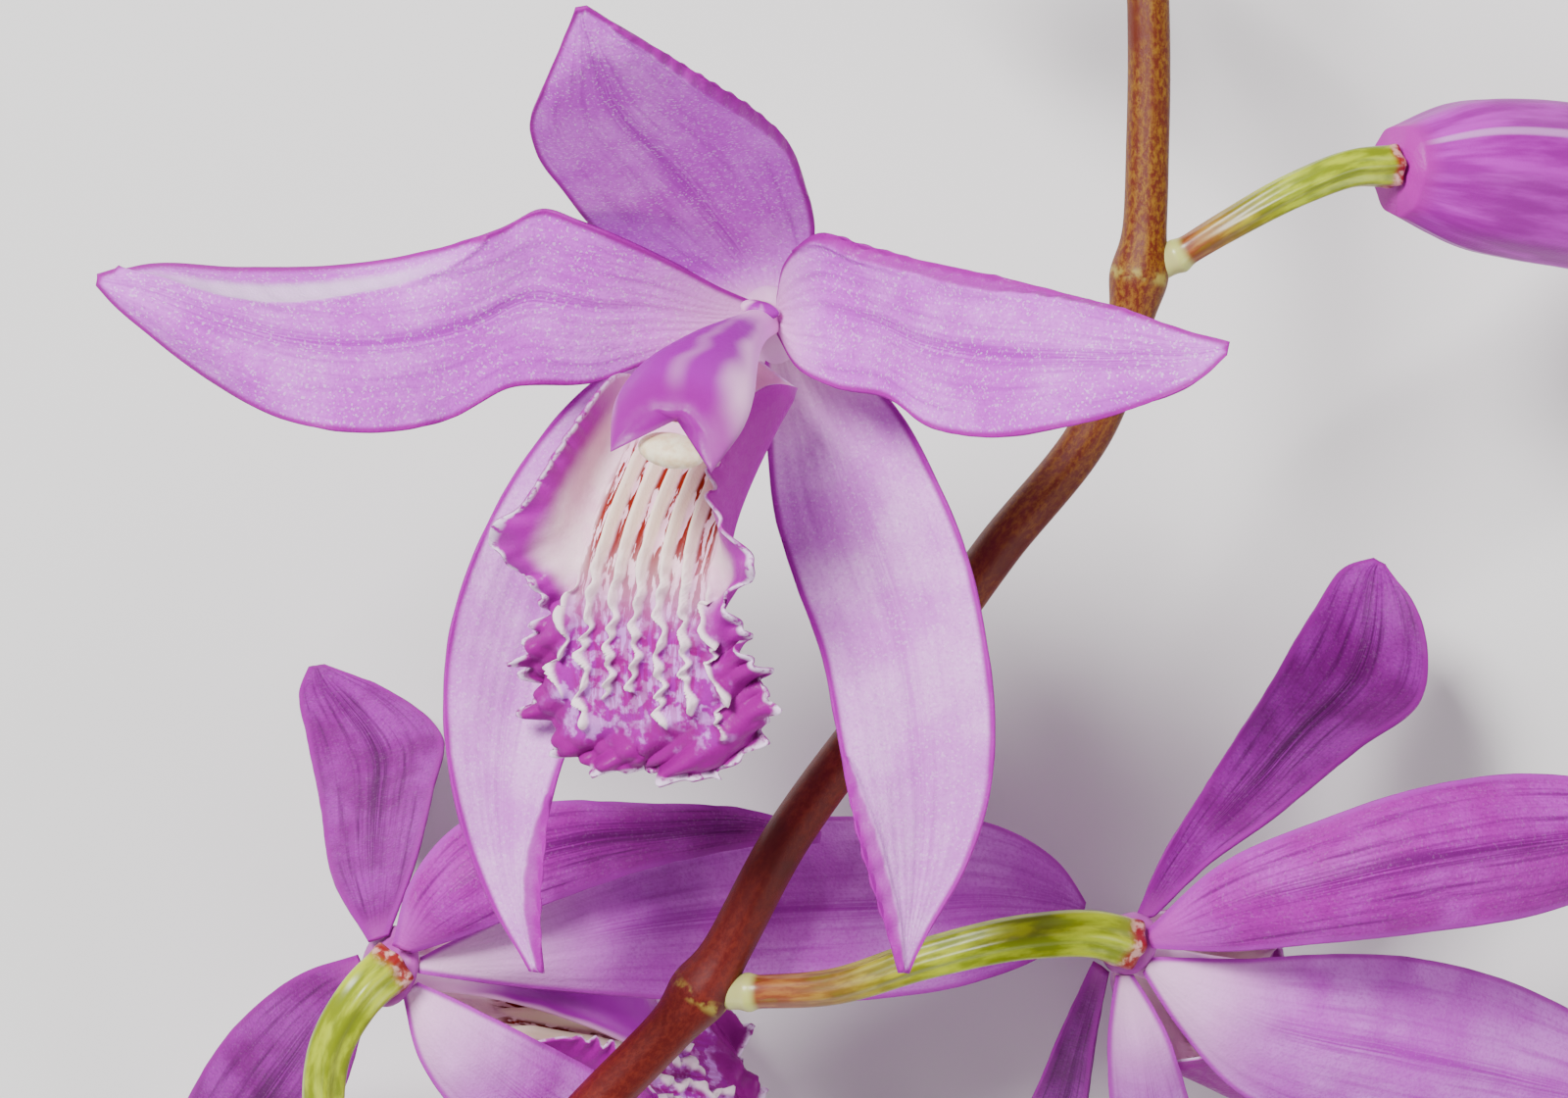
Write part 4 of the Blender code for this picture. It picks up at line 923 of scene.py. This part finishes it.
def right_bloom(look):
    tepal(
        "right_dorsal_sepal",
        [(16.9, -26.9), (20.2, -24.0), (24.6, -22.1), (28.9, -20.7), (34.0, -20.1), (38.6, -20.9),
         (41.6, -22.6)],
        [(17.1, -27.7), (20.6, -27.8), (24.2, -27.5), (28.9, -27.0), (34.0, -26.2), (38.4, -24.6),
         (41.6, -23.2)],
        [19.9, (22.0, 23.0, 22.0), (22.6, 24.4, 22.8), (21.6, 23.4, 21.8), (19.4, 20.2, 19.4), 16.4],
        look.back, seed=21,
    )
    tepal(
        "right_upper_petal",
        [(16.3, -26.5), (17.4, -24.0), (19.3, -20.8), (22.0, -16.6), (24.2, -12.9), (25.7, -10.9),
         (26.8, -10.6)],
        [(17.2, -26.3), (19.6, -24.0), (22.4, -22.0), (26.2, -18.9), (28.9, -16.8), (28.7, -12.8),
         (27.3, -10.9)],
        [18.6, (17.0, 16.6, 17.2), (13.6, 13.2, 14.2), (10.0, 9.2, 11.0), (6.8, 6.4, 7.4), 5.4],
        look.deep, seed=22,
    )
    tepal(
        "right_lower_petal",
        [(17.1, -28.1), (20.6, -28.2), (24.6, -28.0), (28.9, -28.2), (33.5, -29.5), (37.6, -32.0),
         (39.6, -34.8)],
        [(16.7, -28.8), (18.3, -31.2), (20.6, -33.8), (25.2, -35.9), (30.8, -36.9), (36.0, -36.6),
         (39.3, -35.3)],
        [(19.4, 19.4, 19.3), (18.0, 18.7, 17.2), (15.2, 16.6, 13.4), (12.4, 13.8, 10.8), (9.2, 10.0, 8.4),
         6.2],
        look.long, seed=23,
    )
    tepal(
        "right_lower_sepal",
        [(16.3, -28.9), (17.8, -31.6), (18.9, -35.0), (20.4, -38.8), (21.4, -42.0), (21.4, -45.0),
         (20.2, -47.2)],
        [(15.5, -28.9), (15.2, -31.6), (15.3, -35.0), (15.8, -38.8), (16.8, -42.2), (18.4, -45.2),
         (19.7, -47.3)],
        [19.0, (17.8, 18.5, 17.7), (12.8, 13.8, 12.4), (6.6, 7.8, 6.2), (1.0, 1.8, 0.8), -3.3],
        look.long, seed=24,
    )
    tepal(
        "right_outer_sepal",
        [(15.2, -28.8), (14.6, -31.8), (14.2, -34.8), (13.6, -38.0), (12.4, -41.2), (10.6, -43.6),
         (9.0, -44.6)],
        [(14.5, -28.3), (13.1, -31.4), (12.0, -34.0), (10.4, -36.8), (9.0, -39.6), (8.2, -42.2),
         (8.5, -44.3)],
        [18.6, (14.4, 14.2, 15.2), (9.2, 8.6, 10.2), (4.0, 3.2, 4.8), (-0.4, -1.0, 0.0), -3.3],
        look.deep, seed=25,
    )
    facing = unit((0.60, -0.35, -0.72))
    axes = bloom_frame(facing, (0.78, 0.31, 0.44))
    base = sighted((15.7, -27.9, 18.2))
    gynostemium("right_column", base + 0.2 * facing, axes, look.column)
    heart = base - 0.5 * facing + np.array([0.7, 0.25, 0.0])
    knob("right_heart", heart, axes, (1.5, 1.5, 0.8), look.magenta_heart, "right_column")
    lip("right_lip", base + 2.3 * facing - 1.95 * axes[1], axes, look.lip, BACK_LIP_GRID,
        tilt=-3, droop=0.12)
    stalk(
        "right_stalk",
        sighted([(-0.7, -29.65, 18.15), (3.1, -29.4, 19.6), (7.4, -28.1, 20.8), (11.7, -27.2, 21.4),
                 (14.6, -27.1, 21.0), (16.1, -27.5, 19.8)]),
        0.75, 1.15, look.stalk,
    )


def left_bloom(look):
    tepal(
        "left_dorsal_sepal",
        [(-16.2, -27.6), (-15.4, -24.8), (-13.3, -22.3), (-9.2, -21.3), (-5.1, -21.4), (-0.8, -21.6),
         (2.6, -22.6)],
        [(-15.4, -27.9), (-13.0, -27.1), (-10.4, -26.1), (-7.2, -24.9), (-4.2, -24.0), (-0.9, -23.3),
         (2.5, -23.1)],
        [(18.2, 18.4, 18.2), (19.0, 20.4, 19.4), (18.2, 19.4, 18.6), (17.0, 17.6, 17.2),
         (16.2, 16.6, 16.4), 15.6],
        look.back, seed=31,
    )
    tepal(
        "left_upper_petal",
        [(-17.3, -27.4), (-18.9, -24.5), (-19.4, -21.4), (-20.0, -18.4), (-20.3, -16.4), (-19.9, -15.4)],
        [(-16.4, -27.1), (-15.2, -23.8), (-14.4, -20.6), (-14.0, -18.6), (-16.4, -16.4), (-19.2, -15.3)],
        [17.0, (13.6, 13.0, 13.8), (8.8, 8.0, 8.8), (3.8, 3.0, 3.6), (-0.4, -0.8, -0.6), -3.3],
        look.deep, seed=32,
    )
    tepal(
        "left_long_petal",
        [(-15.0, -28.1), (-10.4, -25.9), (-5.6, -23.6), (-0.2, -22.2), (5.6, -22.0), (10.4, -22.4),
         (13.0, -24.0), (14.2, -25.7)],
        [(-15.1, -28.8), (-10.4, -29.4), (-6.0, -29.8), (-0.6, -30.1), (5.0, -29.9), (9.6, -29.1),
         (12.6, -27.8), (14.0, -26.4)],
        [17.2, (15.2, 16.2, 14.8), (13.2, 15.0, 13.8), (12.2, 14.2, 13.0), (11.2, 12.8, 11.8), 11.0],
        look.long, seed=33,
    )
    tepal(
        "left_lower_sepal",
        [(-15.1, -29.2), (-12.2, -30.6), (-9.4, -32.0), (-6.2, -33.8), (-2.8, -36.4), (0.2, -39.8),
         (1.9, -43.2)],
        [(-15.8, -29.7), (-15.0, -32.6), (-13.2, -35.2), (-10.4, -38.0), (-7.0, -40.6), (-3.0, -42.8),
         (1.5, -43.9)],
        [17.2, (16.2, 17.0, 16.2), (12.9, 13.8, 12.9), (9.0, 10.4, 9.6), (6.6, 7.6, 7.0), 4.8],
        look.long, seed=34,
    )
    tepal(
        "left_outer_sepal",
        [(-17.8, -28.0), (-20.2, -28.8), (-22.6, -30.6), (-24.6, -33.2), (-25.9, -36.2), (-26.2, -39.2),
         (-25.4, -41.6)],
        [(-17.2, -29.6), (-17.7, -31.8), (-18.4, -34.0), (-19.8, -36.2), (-21.6, -38.4), (-23.4, -40.4),
         (-24.9, -41.9)],
        [16.8, (12.2, 12.6, 12.0), (7.4, 8.2, 7.2), (3.0, 4.0, 2.8), (-0.6, 0.2, -0.6), -3.3],
        look.deep, seed=35,
    )
    facing = unit((0.75, -0.20, -0.63))
    axes = bloom_frame(facing, (0.61, 0.56, 0.55))
    base = sighted((-15.9, -28.6, 15.9))
    gynostemium("left_column", base + 0.2 * facing - 0.3 * axes[1], axes, look.column)
    heart = base - 0.6 * facing
    knob("left_heart", heart, axes, (1.9, 1.9, 0.8), look.magenta_heart, "left_column")
    lip("left_lip", base + 2.1 * facing - 2.2 * axes[1], axes, look.lip, BACK_LIP_GRID,
        tilt=-2, droop=0)
    stalk(
        "left_stalk",
        [(-16.7, -43.6, 14.3), (-19.4, -40.6, 15.6), (-20.2, -36.2, 17.2), (-19.7, -32.8, 18.4),
         (-18.2, -30.4, 18.9), (-16.9, -29.2, 18.1)],
        0.8, 1.15, look.stalk,
    )


def buds(look):
    stalk(
        "bud_stalk",
        sighted([(18.15, 2.6, 20.7), (20.3, 3.9, 21.2), (23.7, 5.7, 21.4), (25.9, 6.5, 20.9),
                 (27.7, 6.6, 19.8)]),
        0.65, 0.95, look.stalk,
    )
    bud(
        "bud",
        [(28.9, 7.1, 19.6), (32.6, 7.1, 17.2), (37.6, 6.8, 13.0), (42.6, 6.2, 7.7), (46.6, 5.4, 2.2),
         (49.2, 4.7, -3.4)],
        [2.0, 3.25, 3.65, 3.75, 3.8, 3.6, 3.1, 2.3, 1.4, 0.5], look.bud,
    )
    stalk("small_bud_stalk", [(15.9, 18.65, 20.35), (14.4, 20.3, 20.8), (12.4, 21.4, 20.6)],
          0.5, 0.6, look.stalk, 50)
    bud("small_bud", [(11.9, 21.7, 20.4), (9.4, 22.8, 19.2), (6.6, 23.7, 17.2), (4.4, 24.1, 15.2)],
        [0.55, 1.5, 1.9, 1.9, 1.5, 0.9, 0.35], look.bud, 80)
    stalk("tip_bud_stalk", [(17.05, 21.6, 19.55), (16.7, 23.0, 19.2), (16.2, 24.0, 18.7)],
          0.42, 0.5, look.stalk, 30)
    bud("tip_bud", [(16.05, 24.3, 18.5), (15.4, 25.6, 17.6), (14.7, 26.8, 16.4), (14.2, 27.6, 15.3)],
        [0.4, 0.95, 1.15, 1.1, 0.8, 0.3], look.bud, 60)


# The studio


def camera():
    data = bpy.data.cameras.new("camera")
    data.sensor_width = SENSOR
    data.lens = SENSOR * EYE_DISTANCE / VIEW_WIDTH
    data.clip_start = 0.01
    eye = bpy.data.objects.new("camera", data)
    eye.location = (np.array([*EYE, BLOOM_HEIGHT + EYE_DISTANCE]) - MIDDLE) * MM
    link(eye)
    bpy.context.scene.camera = eye


def floor():
    half = 1.5
    mesh = bpy.data.meshes.new("floor")
    square = [(-half, -half, 0), (half, -half, 0), (half, half, 0), (-half, half, 0)]
    mesh.from_pydata(square, [], [(0, 1, 2, 3)])
    n = Nodes("floor")
    mesh.materials.append(n.finish((0.80, 0.79, 0.77), 0.7))
    plane = bpy.data.objects.new("floor", mesh)
    link(plane)


def softbox(name, place, size, power):
    data = bpy.data.lights.new(name, "AREA")
    data.size = size
    data.energy = power
    light = bpy.data.objects.new(name, data)
    light.location = place
    away = np.asarray(place) - LIGHT_TARGET
    light.rotation_euler = (
        math.atan2(math.hypot(away[0], away[1]), away[2]),
        0.0,
        math.atan2(away[1], away[0]) + math.pi / 2,
    )
    link(light)


def studio():
    floor()
    softbox("key", (-0.22, 0.26, 0.55), 0.18, 7.5)
    softbox("fill", (0.50, -0.25, 0.40), 0.40, 2.4)
    softbox("low", (-0.45, -0.45, 0.18), 0.30, 1.0)
    world = bpy.data.worlds.new("world")
    world.use_nodes = True
    background = world.node_tree.nodes["Background"]
    background.inputs["Color"].default_value = (0.95, 0.97, 1.0, 1.0)
    background.inputs["Strength"].default_value = 0.25
    bpy.context.scene.world = world


def main():
    look = SimpleNamespace(
        petal=petal_material(),
        pale=pale_sepal_material(),
        back=back_material(),
        long=long_petal_material(),
        lip=lip_material(),
        column=column_material(),
        anther=anther_material(),
        heart=heart_material("heart", (0.70, 0.28, 0.64), (0.80, 0.50, 0.72)),
        magenta_heart=heart_material("magenta_heart", (0.30, 0.004, 0.27), (0.50, 0.09, 0.46)),
        deep=deep_back_material(),
        stem=stem_material(),
        stalk=stalk_material(),
        bud=bud_material(),
    )
    stem(look.stem)
    front_bloom(look)
    right_bloom(look)
    left_bloom(look)
    buds(look)
    studio()
    camera()


main()


def corners(bounds):
    return [[float(value) for value in corner] for corner in bounds]
